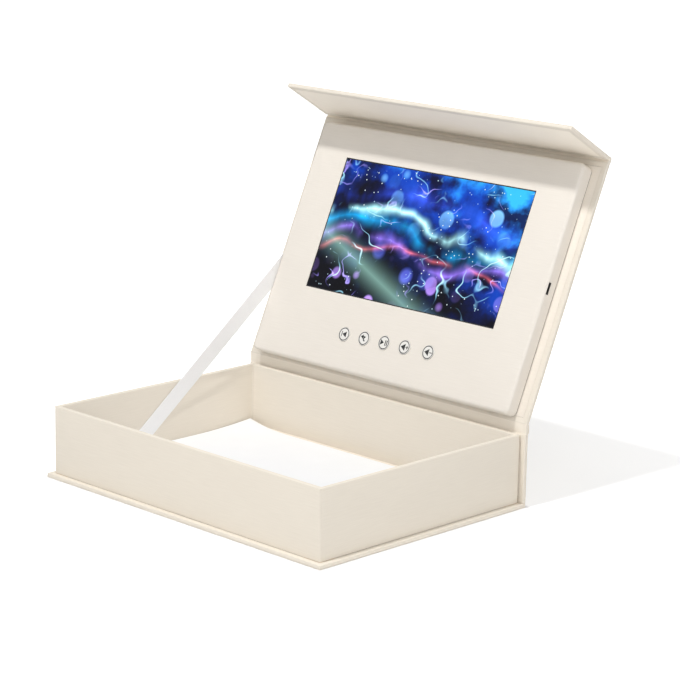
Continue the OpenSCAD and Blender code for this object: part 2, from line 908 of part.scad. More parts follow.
module usb_socket() {
    color(steel)
        on_lid()
            difference() {
                block([socket_x1 - socket_d, socket_v - socket_l / 2, control_n1],
                      [socket_x1, socket_v + socket_l / 2, control_n1 + socket_h]);
                difference() {
                    block([socket_x1 - socket_d + socket_rear, socket_v - socket_l / 2 + socket_wall,
                           control_n1 + socket_wall],
                          [socket_x1 + 1, socket_v + socket_l / 2 - socket_wall,
                           control_n1 + socket_h - socket_wall]);
                    block([socket_x1 - socket_d, socket_v - socket_l / 4, slot_n - tongue_h / 2],
                          [socket_x1 - tongue_back, socket_v + socket_l / 4, slot_n + tongue_h / 2]);
                }
            }
}

module key_board() {
    color(board_green)
        on_lid()
            block([key_board_x0, key_v - key_board_l / 2, 0],
                  [key_board_x1, key_v + key_board_l / 2, board_t]);
}

module key_switches() {
    color("dimgray")
        on_lid()
            for (k = [0:key_count - 1])
                translate(concat(key_place(k), board_t))
                    difference() {
                        translate([-switch_w / 2, -switch_w / 2, 0])
                            cube([switch_w, switch_w, switch_h]);
                        translate([0, 0, switch_h - plunger_root - key_travel - plunger_slack])
                            cylinder(d = plunger_d + 2 * plunger_gap, h = switch_h);
                    }
}

// A key, with the plunger of its switch under its stem
module key(k) {
    lip_n1 = face_n0 - lip_slack;
    lip_n0 = lip_n1 - key_lip_t;
    on_lid()
        translate(concat(key_place(k), 0)) {
            color("white") {
                translate([0, 0, lip_n1])
                    cylinder(d = key_d, h = panel_rise + key_proud - lip_n1);
                translate([0, 0, lip_n0])
                    cylinder(d = key_d + 2 * key_lip, h = key_lip_t);
                translate([0, 0, plunger_n1])
                    cylinder(d = plunger_d, h = lip_n0 - plunger_n1);
            }
            color("black")
                translate([0, 0, plunger_n1 - plunger_h - plunger_root])
                    cylinder(d = plunger_d, h = plunger_h + plunger_root);
        }
}

module key_previous() {
    key(0);
}

module key_replay() {
    key(1);
}

module key_play() {
    key(2);
}

module key_louder() {
    key(3);
}

module key_quieter() {
    key(4);
}

// A flat lead with square corners, through points on the lid's inner sheet
module flat_lead(route, width, low, high) {
    translate([0, 0, low])
        linear_extrude(height = high - low)
            for (i = [0:len(route) - 2])
                let (
                    a = route[i],
                    b = route[i + 1],
                    lo = [min(a[0], b[0]), min(a[1], b[1])],
                    hi = [max(a[0], b[0]), max(a[1], b[1])]
                )
                translate([lo[0] - width / 2, lo[1] - width / 2])
                    square([hi[0] - lo[0] + width, hi[1] - lo[1] + width]);
}

// Flat cable from the key board up to its plug under the control board
module key_cable() {
    color("white")
        on_lid() {
            x0 = key_board_x1 + key_cable_w / 2;
            bend_v = min(backlight_v0 - frame_t, control_v0) - lead_gap - key_cable_w / 2;
            flat_lead([[x0, key_v], [x0, bend_v], [cable_x, bend_v],
                       [cable_x, control_v0 - key_cable_w / 2]],
                      key_cable_w, 0, key_cable_t);
        }
}

module battery() {
    color("silver")
        on_lid()
            block([battery_x0, lower_bay_v - battery_h / 2, 0],
                  [battery_x1, lower_bay_v + battery_h / 2, battery_t]);
}

// Leads lie on the inner sheet, below the key board, and end at the control board's lower edge
module battery_leads() {
    x0 = battery_x1 + lead_w / 2;
    v0 = lower_bay_v - 0.3 * battery_h;
    run_v = rail_v0 + lead_gap;
    color("red")
        on_lid()
            for (k = [0, 1])
                let (
                    d = k * lead_pitch,
                    x1 = battery_lead_x + lead_pitch / 2 - d,
                    turn_x = x0 + 0.6 * battery_key_gap - d
                )
                flat_lead([[x0, v0 + d], [turn_x, v0 + d], [turn_x, run_v + d], [x1, run_v + d],
                           [x1, control_v0 - lead_w / 2]],
                          lead_w, 0, lead_t);
}

module speaker() {
    color("dimgray")
        on_lid()
            translate([speaker_x, lower_bay_v, 0])
                difference() {
                    union() {
                        cylinder(d = speaker_magnet_d, h = speaker_t - speaker_rim_t);
                        translate([0, 0, speaker_t - speaker_rim_t])
                            cylinder(d = speaker_d, h = speaker_rim_t);
                    }
                    translate([0, 0, speaker_t - speaker_bowl])
                        cylinder(d = cone_d, h = speaker_t);
                }
}

module speaker_cone() {
    color("black")
        on_lid()
            translate([speaker_x, lower_bay_v, speaker_t - speaker_bowl])
                cylinder(d = cone_d, h = speaker_bowl - cone_drop);
}

module speaker_leads() {
    x0 = speaker_x + speaker_magnet_d / 2 + lead_w / 2;
    color("black")
        on_lid()
            for (k = [0, 1])
                let (
                    d = k * lead_pitch,
                    x1 = speaker_lead_x + lead_pitch / 2 - d
                )
                flat_lead([[x0, lower_bay_v + d], [x1, lower_bay_v + d], [x1, control_v0 - lead_w / 2]],
                          lead_w, 0, lead_t);
}

// Point of the fold between lid and flap: along a face at distance u, and m off its middle plane
function fold_point(u, m, turn) = [
    fold_v + u * cos(turn) - m * sin(turn),
    fold_n + u * sin(turn) + m * cos(turn)
];

// Outer fold paper: along the lid, round the fold line and along the flap
module flap_hinge_strip() {
    r = case_t / 2;
    steps = 6;
    color(cream)
        on_lid()
            across(case_w)
                polygon(concat(
                    [fold_point(-fold_gap, -r, 0)],
                    [for (k = [0:steps]) fold_point(0, -r, flap_fold * k / steps)],
                    [fold_point(fold_gap, -r, flap_fold)],
                    [fold_point(fold_gap, hinge_paper - r, flap_fold)],
                    [for (k = [steps:-1:0]) fold_point(0, hinge_paper - r, flap_fold * k / steps)],
                    [fold_point(-fold_gap, hinge_paper - r, 0)]
                ));
}

// Inner fold paper, across the inside of the fold
module flap_hinge_lining() {
    r = case_t / 2;
    color(cream_inside)
        on_lid()
            across(case_w)
                polygon([
                    fold_point(-fold_gap, r, 0),
                    fold_point(-fold_gap, r - hinge_paper, 0),
                    fold_point(fold_gap, r - hinge_paper, flap_fold),
                    fold_point(fold_gap, r, flap_fold)
                ]);
}

// Flap: its inner side is up in the flap's frame
flap_low = [-case_w / 2, fold_gap, -case_t / 2];
flap_high = [case_w / 2, flap_u1, case_t / 2];

module flap_board() {
    color(greyboard)
        on_flap()
            difference() {
                case_board(flap_low, flap_high);
                magnet_discs();
            }
}

module flap_cover() {
    color(cream) on_flap() case_cover(flap_low, flap_high);
}

module flap_liner() {
    color(cream_inside) on_flap() case_liner(flap_low, flap_high);
}

module magnet_discs() {
    for (sx = [-1, 1])
        translate([sx * magnet_x, flap_u1 - magnet_edge, case_t / 2 - paper - magnet_t])
            cylinder(d = magnet_d, h = magnet_t);
}

module flap_magnets() {
    color(steel) on_flap() magnet_discs();
}

base_board();
base_cover();
base_liner();
spine_board();
spine_cover();
spine_liner();
tray_floor();
tray_wall_front();
tray_wall_back();
tray_wall_left();
tray_wall_right();
tray_corner_tapes();
tray_wrap();
tray_lining();
foam_sheet();
catch_plates();
sensor_magnet();
ribbon_stay();
lid_hinge_strip();
lid_hinge_lining();
lid_board();
lid_cover();
lid_liner();
panel_rail_left();
panel_rail_right();
panel_rail_top();
panel_rail_bottom();
panel_face_board();
panel_cover();
screen_glass();
screen_backlight();
screen_frame();
screen_foam();
screen_flex();
control_board();
control_board_feet();
board_plugs();
board_chips();
usb_socket();
key_board();
key_switches();
key_cable();
battery();
battery_leads();
speaker();
speaker_cone();
speaker_leads();
flap_hinge_strip();
flap_hinge_lining();
flap_board();
flap_cover();
flap_liner();
flap_magnets();
key_previous();
key_replay();
key_play();
key_louder();
key_quieter();
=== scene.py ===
# %% [markdown]
# # A video presentation box
# This lesson dresses a paper-covered gift box that has a screen in its lid. The box is already
# built to size as a set of solids, and the script lays its paper, foam, ribbon, screen and keys
# over them. Everything is in metres: X runs to the right along the front, Y to the back, Z up.

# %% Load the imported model
import json
import math
import bmesh
import bpy
from mathutils import Matrix, Vector


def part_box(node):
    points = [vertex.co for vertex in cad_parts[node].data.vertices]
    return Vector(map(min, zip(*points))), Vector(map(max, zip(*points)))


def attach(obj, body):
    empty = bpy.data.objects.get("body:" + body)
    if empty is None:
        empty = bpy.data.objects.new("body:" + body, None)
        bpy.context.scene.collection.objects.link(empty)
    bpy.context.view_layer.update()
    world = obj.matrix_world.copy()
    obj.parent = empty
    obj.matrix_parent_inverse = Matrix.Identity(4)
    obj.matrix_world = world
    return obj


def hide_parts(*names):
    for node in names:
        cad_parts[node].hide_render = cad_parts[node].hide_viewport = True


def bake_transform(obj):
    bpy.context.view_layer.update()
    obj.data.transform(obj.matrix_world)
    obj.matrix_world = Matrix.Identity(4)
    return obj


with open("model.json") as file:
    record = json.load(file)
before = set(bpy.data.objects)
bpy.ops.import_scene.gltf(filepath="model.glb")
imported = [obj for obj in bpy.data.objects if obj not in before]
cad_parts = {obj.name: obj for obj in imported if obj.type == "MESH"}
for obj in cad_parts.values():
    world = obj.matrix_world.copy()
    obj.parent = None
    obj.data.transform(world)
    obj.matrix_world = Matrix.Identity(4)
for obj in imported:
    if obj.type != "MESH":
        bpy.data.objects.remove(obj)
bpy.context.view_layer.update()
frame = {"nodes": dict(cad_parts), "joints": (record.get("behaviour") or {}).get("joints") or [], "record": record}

MM = 0.001
print("solids loaded:", len(frame["nodes"]))

# %% [markdown]
# The lid leans back and the flap hangs forward from it. Each is easier to model lying flat, so
# each gets a frame of its own: x to the right, y away from its hinge, z out of its inner side.
# The joints say where the hinges are and how far the parts have turned, so nothing is guessed.

# %% Frames of the lid, the flap and the spine
joints = {joint["name"]: joint for joint in frame["joints"]}
LID_OPEN = math.radians(joints["lid_hinge"]["range_deg"][1])
FLAP_FOLD = math.radians(-joints["flap_hinge"]["range_deg"][0])
SEAT_GAP = 0.3 * MM
hinge = Vector(joints["lid_hinge"]["pos_m"])
fold = Vector(joints["flap_hinge"]["pos_m"])
rim_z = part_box("tray_wrap")[1][2]
back_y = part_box("spine_cover")[1][1]


def turned(origin, angle):
    """A frame with its origin there, turned about the X axis."""
    return Matrix.Translation(origin) @ Matrix.Rotation(angle, 4, "X")


flat_frame = Matrix.Identity(4)
spine_frame = turned((0, back_y, 0), math.pi / 2)
lid_drop = Matrix.Translation((0, 0, hinge.z - rim_z - SEAT_GAP))
lid_frame = turned(hinge, math.pi - LID_OPEN) @ lid_drop
flap_frame = turned(fold, math.pi - LID_OPEN + FLAP_FOLD)
print("lid open by", round(math.degrees(LID_OPEN), 1), "degrees")


def box_in(node, place):
    """Lowest and highest corner of a solid, in a frame of its own."""
    back = place.inverted()
    points = [back @ vertex.co for vertex in frame["nodes"][node].data.vertices]
    low = Vector(min(p[i] for p in points) for i in range(3))
    high = Vector(max(p[i] for p in points) for i in range(3))
    return low, high


# %% [markdown]
# Paper, screen and floor all get their looks from small graphs of nodes, and a node always takes
# the same three steps: make it, choose its settings, feed its inputs. A few helpers do that and
# the sums between them, so that each material further down reads like a recipe.

# %% Node helpers


def feed(tree, node, given):
    """Feeds a node's inputs, by name or number, with outputs or with plain values."""
    for key, source in dict(given).items():
        if isinstance(source, bpy.types.NodeSocket):
            tree.links.new(source, node.inputs[key])
        else:
            node.inputs[key].default_value = source


def add_node(tree, kind, given=(), **settings):
    """A shader node with its settings made and its inputs fed."""
    node = tree.nodes.new("ShaderNode" + kind)
    for key, value in settings.items():
        setattr(node, key, value)
    feed(tree, node, given)
    return node


def calc(tree, kind, *terms, clamp=False):
    """The sum, the product or the like of outputs and numbers."""
    return add_node(tree, "Math", enumerate(terms), operation=kind, use_clamp=clamp).outputs[0]


def span(tree, value, ends=(0, 1), results=(0, 1), kind="LINEAR"):
    """A value taken from one span of numbers to another."""
    names = ("Value", "From Min", "From Max", "To Min", "To Max")
    given = zip(names, (value, *ends, *results))
    return add_node(tree, "MapRange", given, interpolation_type=kind).outputs["Result"]


def blended(tree, factor, low, high):
    """A colour that runs from low to high with the factor."""
    given = {"Factor": factor, "A": (*low, 1), "B": (*high, 1)}
    return add_node(tree, "Mix", given, data_type="RGBA").outputs["Result"]


def noise(tree, source, scale, detail, stretch=(1, 1, 1), shift=(0, 0, 0)):
    """Noise over a map that is stretched and shifted first."""
    place = add_node(tree, "Mapping", {"Vector": source, "Location": shift, "Scale": stretch})
    given = {"Vector": place.outputs["Vector"], "Scale": scale, "Detail": detail}
    return add_node(tree, "TexNoise", given).outputs["Fac"]


def bump(tree, shader, height, strength, distance):
    """Feeds a height into the shader's normal."""
    given = {"Strength": strength, "Distance": distance, "Height": height}
    feed(tree, shader, {"Normal": add_node(tree, "Bump", given).outputs["Normal"]})


def uv_map(tree, name):
    """The place of a point on one of the piece's UV maps."""
    return add_node(tree, "UVMap", uv_map=name).outputs["UV"]


def new_material(name):
    """A material with nodes, its tree and its main shader."""
    material = bpy.data.materials.new(name)
    material.use_nodes = True
    tree = material.node_tree
    return material, tree, tree.nodes["Principled BSDF"]


def solid_place(tree):
    """The place of a point in the piece's own space."""
    return add_node(tree, "TexCoord").outputs["Object"]


# %% [markdown]
# The camera was matched to the photograph by fitting the corners of the box, so its lens is long
# and it stands well back. A lens of 129 mm on a 36 mm sensor keeps the box's edges nearly
# parallel. The camera comes first, because everything later is judged through it.

# %% Camera
LENS_MM = 129.28
CAMERA_AZIMUTH = math.radians(44.647)
CAMERA_HEIGHT = math.radians(13.411)
CAMERA_ROLL = math.radians(1.079)
CAMERA_REACH = 1.52382
CAMERA_TARGET = Vector((-0.056433, 0.102329, 0.0665))


def add_camera():
    """The camera, from its aim, its direction and its roll."""
    across, along = math.sin(CAMERA_AZIMUTH), -math.cos(CAMERA_AZIMUTH)
    level, rise = math.cos(CAMERA_HEIGHT), math.sin(CAMERA_HEIGHT)
    back = Vector((across * level, along * level, rise))
    right = Vector((0, 0, 1)).cross(back).normalized()
    up = back.cross(right)
    turn = Matrix.Rotation(CAMERA_ROLL, 3, back)
    right, up = turn @ right, turn @ up
    bpy.ops.object.camera_add()
    camera = bpy.context.object
    camera.name = "camera"
    camera.data.lens = LENS_MM
    camera.data.clip_start = 0.01
    place = Matrix((right, up, back)).transposed().to_4x4()
    camera.matrix_world = Matrix.Translation(CAMERA_TARGET + back * CAMERA_REACH) @ place
    bpy.context.scene.camera = camera
    return camera


camera = add_camera()
print("camera at", [round(c, 3) for c in camera.matrix_world.translation])

# %% [markdown]
# The light is that of a white product studio: a bright soft room from all sides, and one softbox
# high in front that lets the flap throw its shadow on the panel. The backdrop is white because
# the camera's own rays see white, and not because more light falls on the box. A second, larger
# softbox on the right lifts that side a little.

# %% Light and backdrop
ROOM_LIGHT = 0.465
# Name, aim, direction from the aim, distance, side length, watts
LAMPS = (
    ("key_softbox", (0, 0.11, 0.20), (0, -0.42, 0.91), 2.2, 0.15, 29),
    ("side_softbox", (0, 0.05, 0.05), (0.80, -0.35, 0.55), 2.4, 2.4, 19.5),
)


def light_room():
    """The room: plain white to the camera, gloss and glass, and a softer glow to the object."""
    world = bpy.data.worlds.new("white_room")
    bpy.context.scene.world = world
    world.use_nodes = True
    tree = world.node_tree
    path = add_node(tree, "LightPath").outputs
    seen = calc(tree, "MAXIMUM", path["Is Camera Ray"], path["Is Glossy Ray"])
    clear = calc(tree, "MAXIMUM", seen, path["Is Transmission Ray"])
    glow = add_node(tree, "Mix", {"Factor": clear, "A": ROOM_LIGHT, "B": 1.0}).outputs["Result"]
    feed(tree, tree.nodes["Background"], {"Color": (1, 1, 1, 1), "Strength": glow})


def add_softbox(name, aim, direction, reach, size, power):
    """A square softbox that looks at its aim."""
    bpy.ops.object.light_add(type="AREA")
    lamp = bpy.context.object
    lamp.name = name
    lamp.data.shape = "SQUARE"
    lamp.data.size = size
    lamp.data.energy = power
    back = Vector(direction).normalized()
    turn = back.to_track_quat("Z", "Y").to_matrix().to_4x4()
    lamp.matrix_world = Matrix.Translation(Vector(aim) + back * reach) @ turn


light_room()
for lamp in LAMPS:
    add_softbox(*lamp)
print("lamps:", [(lamp[0], lamp[-1]) for lamp in LAMPS])

# %% [markdown]
# The floor is pale and plain and takes the box's shadow. For the camera's rays it adds some white
# of its own, more of it farther out, so it fades into the backdrop. Right at the base it adds
# none, so the fine dark line of contact stays.

# %% Floor
FLOOR_SIZE = 12
FLOOR_DROP = 0.05 * MM
FLOOR_TONE = 0.90
FLOOR_ROUGH = 0.9
FLOOR_LIFT = (0.36, 0.60)
FLOOR_REACH = (0.18, 0.60)
FLOOR_CONTACT = (1.2 * MM, 4.0 * MM)


def beyond_base(tree, place):
    """How far a point of the floor lies outside the base."""
    low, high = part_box("base_cover")
    parts = add_node(tree, "SeparateXYZ", {0: place}).outputs
    sides = []
    for axis in (0, 1):
        reach = calc(tree, "ABSOLUTE", parts[axis])
        sides.append(calc(tree, "SUBTRACT", reach, max(-low[axis], high[axis])))
    return calc(tree, "MAXIMUM", *sides)


def add_floor():
    """A pale floor that takes the shadow, lifted to white where the camera looks."""
    bpy.ops.mesh.primitive_plane_add(size=FLOOR_SIZE, location=(0, 0, -FLOOR_DROP))
    floor = bpy.context.object
    floor.name = "floor"
    material, tree, shader = new_material("floor_paper")
    place = solid_place(tree)
    reach = add_node(tree, "VectorMath", {0: place}, operation="LENGTH").outputs["Value"]
    white = span(tree, reach, FLOOR_REACH, FLOOR_LIFT)
    clear = span(tree, beyond_base(tree, place), FLOOR_CONTACT, kind="SMOOTHSTEP")
    seen = add_node(tree, "LightPath").outputs["Is Camera Ray"]
    feed(tree, shader, {
        "Base Color": (FLOOR_TONE, FLOOR_TONE, FLOOR_TONE, 1),
        "Roughness": FLOOR_ROUGH,
        "Specular IOR Level": 0.0,
        "Emission Color": (1, 1, 1, 1),
        "Emission Strength": calc(tree, "MULTIPLY", seen, calc(tree, "MULTIPLY", clear, white)),
    })
    floor.data.materials.append(material)


add_floor()
print("floor:", FLOOR_SIZE, "m wide")

# %% [markdown]
# The same few moves shape every piece: add a block or a rod at its size, open it in edit mode,
# inset, extrude or bevel what is picked, and apply modifiers. Operators act on whatever is
# selected, so each helper clears the selection first.

# %% Pieces and edit mode
ROUND_SIDES = 64


def deselect_all():
    """Back to object mode with nothing selected."""
    if bpy.context.object and bpy.context.object.mode != "OBJECT":
        bpy.ops.object.mode_set(mode="OBJECT")
    bpy.ops.object.select_all(action="DESELECT")


def only(piece):
    """Selects one object and makes it the active one."""
    deselect_all()
    piece.select_set(True)
    bpy.context.view_layer.objects.active = piece


def new_block(name, low, high):
    """A cube stretched from its low corner to its high corner."""
    deselect_all()
    bpy.ops.mesh.primitive_cube_add(size=1, location=(low + high) / 2)
    piece = bpy.context.object
    piece.name = name
    piece.scale = high - low
    apply_place()
    return piece


def new_rod(radius, depth, middle, sides=ROUND_SIDES):
    """An upright cylinder about its middle."""
    deselect_all()
    bpy.ops.mesh.primitive_cylinder_add(vertices=sides, radius=radius, depth=depth, location=middle)
    return bpy.context.object


def edit(piece):
    """Opens a piece in edit mode."""
    only(piece)
    bpy.ops.object.mode_set(mode="EDIT")


def bevel(offset, segments):
    """Rounds the selected edges."""
    bpy.ops.mesh.bevel(offset=offset, segments=segments, affect="EDGES")


def extrude(move):
    """Extrudes the selection along a move."""
    bpy.ops.mesh.extrude_region_move(TRANSFORM_OT_translate={"value": move})


def normals_out():
    """Turns all faces outward."""
    bpy.ops.mesh.select_all(action="SELECT")
    bpy.ops.mesh.normals_make_consistent(inside=False)


def done():
    """Leaves edit mode."""
    bpy.ops.object.mode_set(mode="OBJECT")


def apply_place():
    """Puts the active object's place and size into its mesh."""
    bpy.ops.object.transform_apply(location=True, rotation=True, scale=True)


def join(pieces):
    """Joins pieces into the first of them."""
    deselect_all()
    for piece in pieces:
        piece.select_set(True)
    bpy.context.view_layer.objects.active = pieces[0]
    bpy.ops.object.join()


def apply_modifier(piece, kind, **settings):
    """Adds a modifier, sets it and applies it."""
    only(piece)
    modifier = piece.modifiers.new(kind.lower(), kind)
    for key, value in settings.items():
        setattr(modifier, key, value)
    bpy.ops.object.modifier_apply(modifier=modifier.name)


# %% [markdown]
# Where a person would click, the script picks faces and edges by where they lie. A face passes by
# its normal and its middle, an edge by its two ends, and lengths count as the same to a hair.

# %% Picking faces and edges
HAIR = 0.02 * MM
FACING = 0.9
DEAD_FLAT = 0.999


def near(a, b):
    """Whether two lengths are the same to a hair."""
    return abs(a - b) < HAIR


def pick(piece, kind, wanted):
    """In edit mode, selects the faces or edges that pass the test."""
    bpy.ops.mesh.select_mode(type=kind)
    bpy.ops.mesh.select_all(action="DESELECT")
    mesh = bmesh.from_edit_mesh(piece.data)
    for part in mesh.faces if kind == "FACE" else mesh.edges:
        if wanted(part):
            part.select_set(True)
    bmesh.update_edit_mesh(piece.data)


def pick_faces(piece, wanted):
    """Selects the faces whose normal and middle pass the test."""
    pick(piece, "FACE", lambda face: wanted(face.normal, face.calc_center_median()))


def pick_up(piece):
    """Selects the faces that look up."""
    pick_faces(piece, lambda n, c: n.z > FACING)


def pick_top(piece, z):
    """Selects the dead flat faces at a height, without the bevels round them."""
    pick_faces(piece, lambda n, c: n.z > DEAD_FLAT and near(c.z, z))


def pick_edges(piece, wanted):
    """Selects the edges whose two ends pass the test."""
    pick(piece, "EDGE", lambda edge: wanted(edge.verts[0].co, edge.verts[1].co))


def pick_level(piece, z):
    """Selects the edges that lie at a height."""
    pick_edges(piece, lambda a, b: near(a.z, z) and near(b.z, z))


def pick_upright(piece):
    """Selects the edges that stand upright."""
    pick_edges(piece, lambda a, b: near(a.x, b.x) and near(a.y, b.y))


def pick_middle(piece, middle, z):
    """Selects the face in the middle of a height."""
    pick_faces(piece, lambda n, c: near(c.z, z) and (c.xy - middle.xy).length < MM)


# %% [markdown]
# A pattern should follow the paper and not the room, because the lid's paper is turned with the
# lid. So every piece is given its UV map while it still lies flat in its own frame: each face is
# mapped straight down its own main direction, one UV unit to a metre. Only then is the piece put
# in its place, with its object left at the origin.

# %% Grain map and placing
SMOOTH_ANGLE = math.radians(40)


def draw_map(piece, name, rule):
    """Gives every corner its place on a UV map, by a rule of its face and its point."""
    mesh = piece.data
    layer = mesh.uv_layers.new(name=name)
    for face in mesh.polygons:
        for loop in face.loop_indices:
            layer.data[loop].uv = rule(face, mesh.vertices[mesh.loops[loop].vertex_index].co)


def along_face(face, point):
    """A point along its face's own plane, in metres, so that u runs across the box."""
    size = [abs(c) for c in face.normal]
    u, v = ((1, 2), (0, 2), (0, 1))[size.index(max(size))]
    return point[u], point[v]


def two_tone(piece, materials, second):
    """Gives a piece two materials, the second one where the middle of a face passes the test."""
    for material in materials:
        piece.data.materials.append(material)
    for face in piece.data.polygons:
        face.material_index = 1 if second(face.center) else 0


def settle(piece, place, body, node, material=None):
    """Finishes a piece: grain, smooth shading, its place, its body and its finish."""
    if "grain" not in piece.data.uv_layers:
        draw_map(piece, "grain", along_face)
    only(piece)
    bpy.ops.object.shade_smooth_by_angle(angle=SMOOTH_ANGLE)
    piece.matrix_world = place
    apply_place()
    if material:
        piece.data.materials.clear()
        piece.data.materials.append(material)
    if body:
        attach(piece, body)
    if node:
        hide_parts(node)
    print(piece.name, "faces:", len(piece.data.polygons))


# %% [markdown]
# The covering is a cream art paper with a linen emboss: long fine ribs that run across the box,
# crossed by weaker ones, under a faint mottle where the pulp is uneven. The four papers share it,
# so it is a node group with a height for the bump, a tint for the colour and the mottle for the
# roughness. The grain is stretched noise and not a wave, because a real emboss has no exact beat.

# %% Linen paper group
RIBS = ((70, 1700, 1), 3)
CROSS_RIBS = ((1900, 160, 1), 2)
PULP = ((22, 45, 1), 4)
CROSS_SHARE = 0.32
PULP_SHARE = 0.30
TINT_ENDS = (0.3, 0.7)
EMBOSS = 0.09 * MM
PAPER_ROUGH = (0.62, 0.82)


def build_linen():
    """Height, tint and mottle of a linen-embossed paper."""
    group = bpy.data.node_groups.new("linen_emboss", "ShaderNodeTree")
    sockets = group.interface
    sockets.new_socket(name="Vector", in_out="INPUT", socket_type="NodeSocketVector")
    for label, value in zip(("Tint Low", "Tint High"), TINT_ENDS):
        socket = sockets.new_socket(name=label, in_out="INPUT", socket_type="NodeSocketFloat")
        socket.default_value = value
    for label in ("Height", "Tint", "Mottle"):
        sockets.new_socket(name=label, in_out="OUTPUT", socket_type="NodeSocketFloat")
    given = group.nodes.new("NodeGroupInput").outputs
    result = group.nodes.new("NodeGroupOutput")
    ribs, cross, pulp = (noise(group, given["Vector"], 1.0, detail, cells)
                         for cells, detail in (RIBS, CROSS_RIBS, PULP))
    height = add_node(group, "Mix", {"Factor": CROSS_SHARE, "A": ribs, "B": cross})
    tint = add_node(group, "Mix", {"Factor": PULP_SHARE, "A": ribs, "B": pulp})
    ends = (given["Tint Low"], given["Tint High"])
    feed(group, result, {
        "Height": height.outputs["Result"],
        "Tint": span(group, tint.outputs["Result"], ends),
        "Mottle": pulp,
    })
    return group


linen = build_linen()


def linen_paper(name, low, high):
    """A cream paper between two tones, with the linen emboss."""
    material, tree, shader = new_material(name)
    grain = add_node(tree, "Group", {"Vector": uv_map(tree, "grain")}, node_tree=linen)
    feed(tree, shader, {
        "Base Color": blended(tree, grain.outputs["Tint"], low, high),
        "Roughness": span(tree, grain.outputs["Mottle"], results=PAPER_ROUGH),
        "Specular IOR Level": 0.32,
    })
    bump(tree, shader, grain.outputs["Height"], 0.55, EMBOSS)
    return material


PAPERS = (
    ("cover_paper", (0.756, 0.694, 0.600), (0.796, 0.734, 0.638)),
    ("inner_paper", (0.798, 0.730, 0.640), (0.838, 0.770, 0.680)),
    # The third paper is a paler copy of the inner paper: painted light for the flap's underside and the hinge
    # linings, which face away from the lamps.
    ("inner_paper_painted_light", (0.880, 0.810, 0.705), (0.920, 0.850, 0.745)),
    ("panel_linen", (0.758, 0.708, 0.640), (0.798, 0.748, 0.680)),
)
cover_paper, inner_paper, inner_paper_painted_light, panel_linen = (linen_paper(*row) for row in PAPERS)
print("papers:", [row[0] for row in PAPERS])

# %% [markdown]
# Each case board is wrapped the way a bookbinder does it: the paper runs over the outer side,
# bends round the four edges and is turned in a few millimetres on the inner side, where the
# inner sheet covers its cut edge. So the wrap is a block with rounded edges, whose inner face is
# inset by the turn-in and removed, and Solidify gives the paper its thickness. The inner sheet
# is a thin slab with its own softened edge, and a hair of space round it shows as its outline.

# %% Wrapped boards of the case
PAPER = 0.25 * MM
TURN_IN = 3.5 * MM
EDGE_ROUND = 0.55 * MM
EDGE_STEPS = 4
SHEET_GAP = 0.12 * MM
SHEET_ROUND = 0.08 * MM


def wrap_board(name, node, place, body):
    """The paper round one case board, open on its inner side."""
    low, high = box_in(node, place)
    piece = new_block(name, low, high)
    edit(piece)
    bpy.ops.mesh.select_all(action="SELECT")
    bevel(EDGE_ROUND, EDGE_STEPS)
    pick_top(piece, high.z)
    bpy.ops.mesh.inset(thickness=TURN_IN - EDGE_ROUND)
    pick_middle(piece, (low + high) / 2, high.z)
    bpy.ops.mesh.delete(type="FACE")
    done()
    apply_modifier(piece, "SOLIDIFY", thickness=PAPER, offset=-1)
    settle(piece, place, body, node, cover_paper)


def inner_sheet(name, node, place, body, paper=inner_paper):
    """The sheet inside a wrapped board, a hair smaller than its opening."""
    low, high = box_in(node, place)
    gap = Vector((SHEET_GAP, SHEET_GAP, 0))
    piece = new_block(name, low + gap, high - gap)
    edit(piece)
    pick_level(piece, high.z)
    bevel(SHEET_ROUND, 2)
    done()
    settle(piece, place, body, node, paper)


BOARDS = (
    ("base", flat_frame, "base", inner_paper),
    ("spine", spine_frame, "base", inner_paper),
    ("lid", lid_frame, "lid", inner_paper),
    # The flap's inner sheet takes the paler copy of the inner paper, as painted light.
    ("flap", flap_frame, "flap", inner_paper_painted_light),
)
for part, place, body, _ in BOARDS:
    wrap_board(part + "_paper", part + "_cover", place, body)
for part, place, body, paper in BOARDS:
    inner_sheet(part + "_sheet", part + "_liner", place, body, paper)

# %% [markdown]
# The tray's paper is one sheet that comes up the outside of the walls, folds over the rim and
# runs down the inside. A solid block is inset and pushed down to make the walls, the bottom
# faces are taken away, and the bends at the rim and the corners are bevelled before Solidify
# turns the surface into paper. It stops a hair above the base, which leaves a fine dark seam.

# %% Tray paper and lining
RIM_ROUND = 0.7 * MM
CORNER_ROUND = 1.2 * MM
TRAY_SEAM = 0.25 * MM


def wrap_tray():
    """The paper over the tray's walls, open below."""
    low, high = box_in("tray_wrap", flat_frame)
    floor_low = box_in("tray_lining", flat_frame)[0]
    wall = floor_low.x - low.x
    low.z += TRAY_SEAM
    piece = new_block("tray_paper", low, high)
    edit(piece)
    pick_up(piece)
    bpy.ops.mesh.inset(thickness=wall)
    pick_middle(piece, (low + high) / 2, high.z)
    extrude((0, 0, floor_low.z - high.z))
    bpy.ops.mesh.delete(type="FACE")
    pick_faces(piece, lambda n, c: n.z < -FACING and near(c.z, low.z))
    bpy.ops.mesh.delete(type="FACE")
    pick_edges(piece, lambda a, b: near(a.z, high.z) and near(b.z, high.z) and
               (near(a.x, b.x) or near(a.y, b.y)))
    bevel(RIM_ROUND, EDGE_STEPS)
    pick_upright(piece)
    bevel(CORNER_ROUND, EDGE_STEPS)
    done()
    apply_modifier(piece, "SOLIDIFY", thickness=PAPER, offset=-1)
    settle(piece, flat_frame, "base", "tray_wrap", cover_paper)


wrap_tray()
inner_sheet("tray_floor_sheet", "tray_lining", flat_frame, "base")
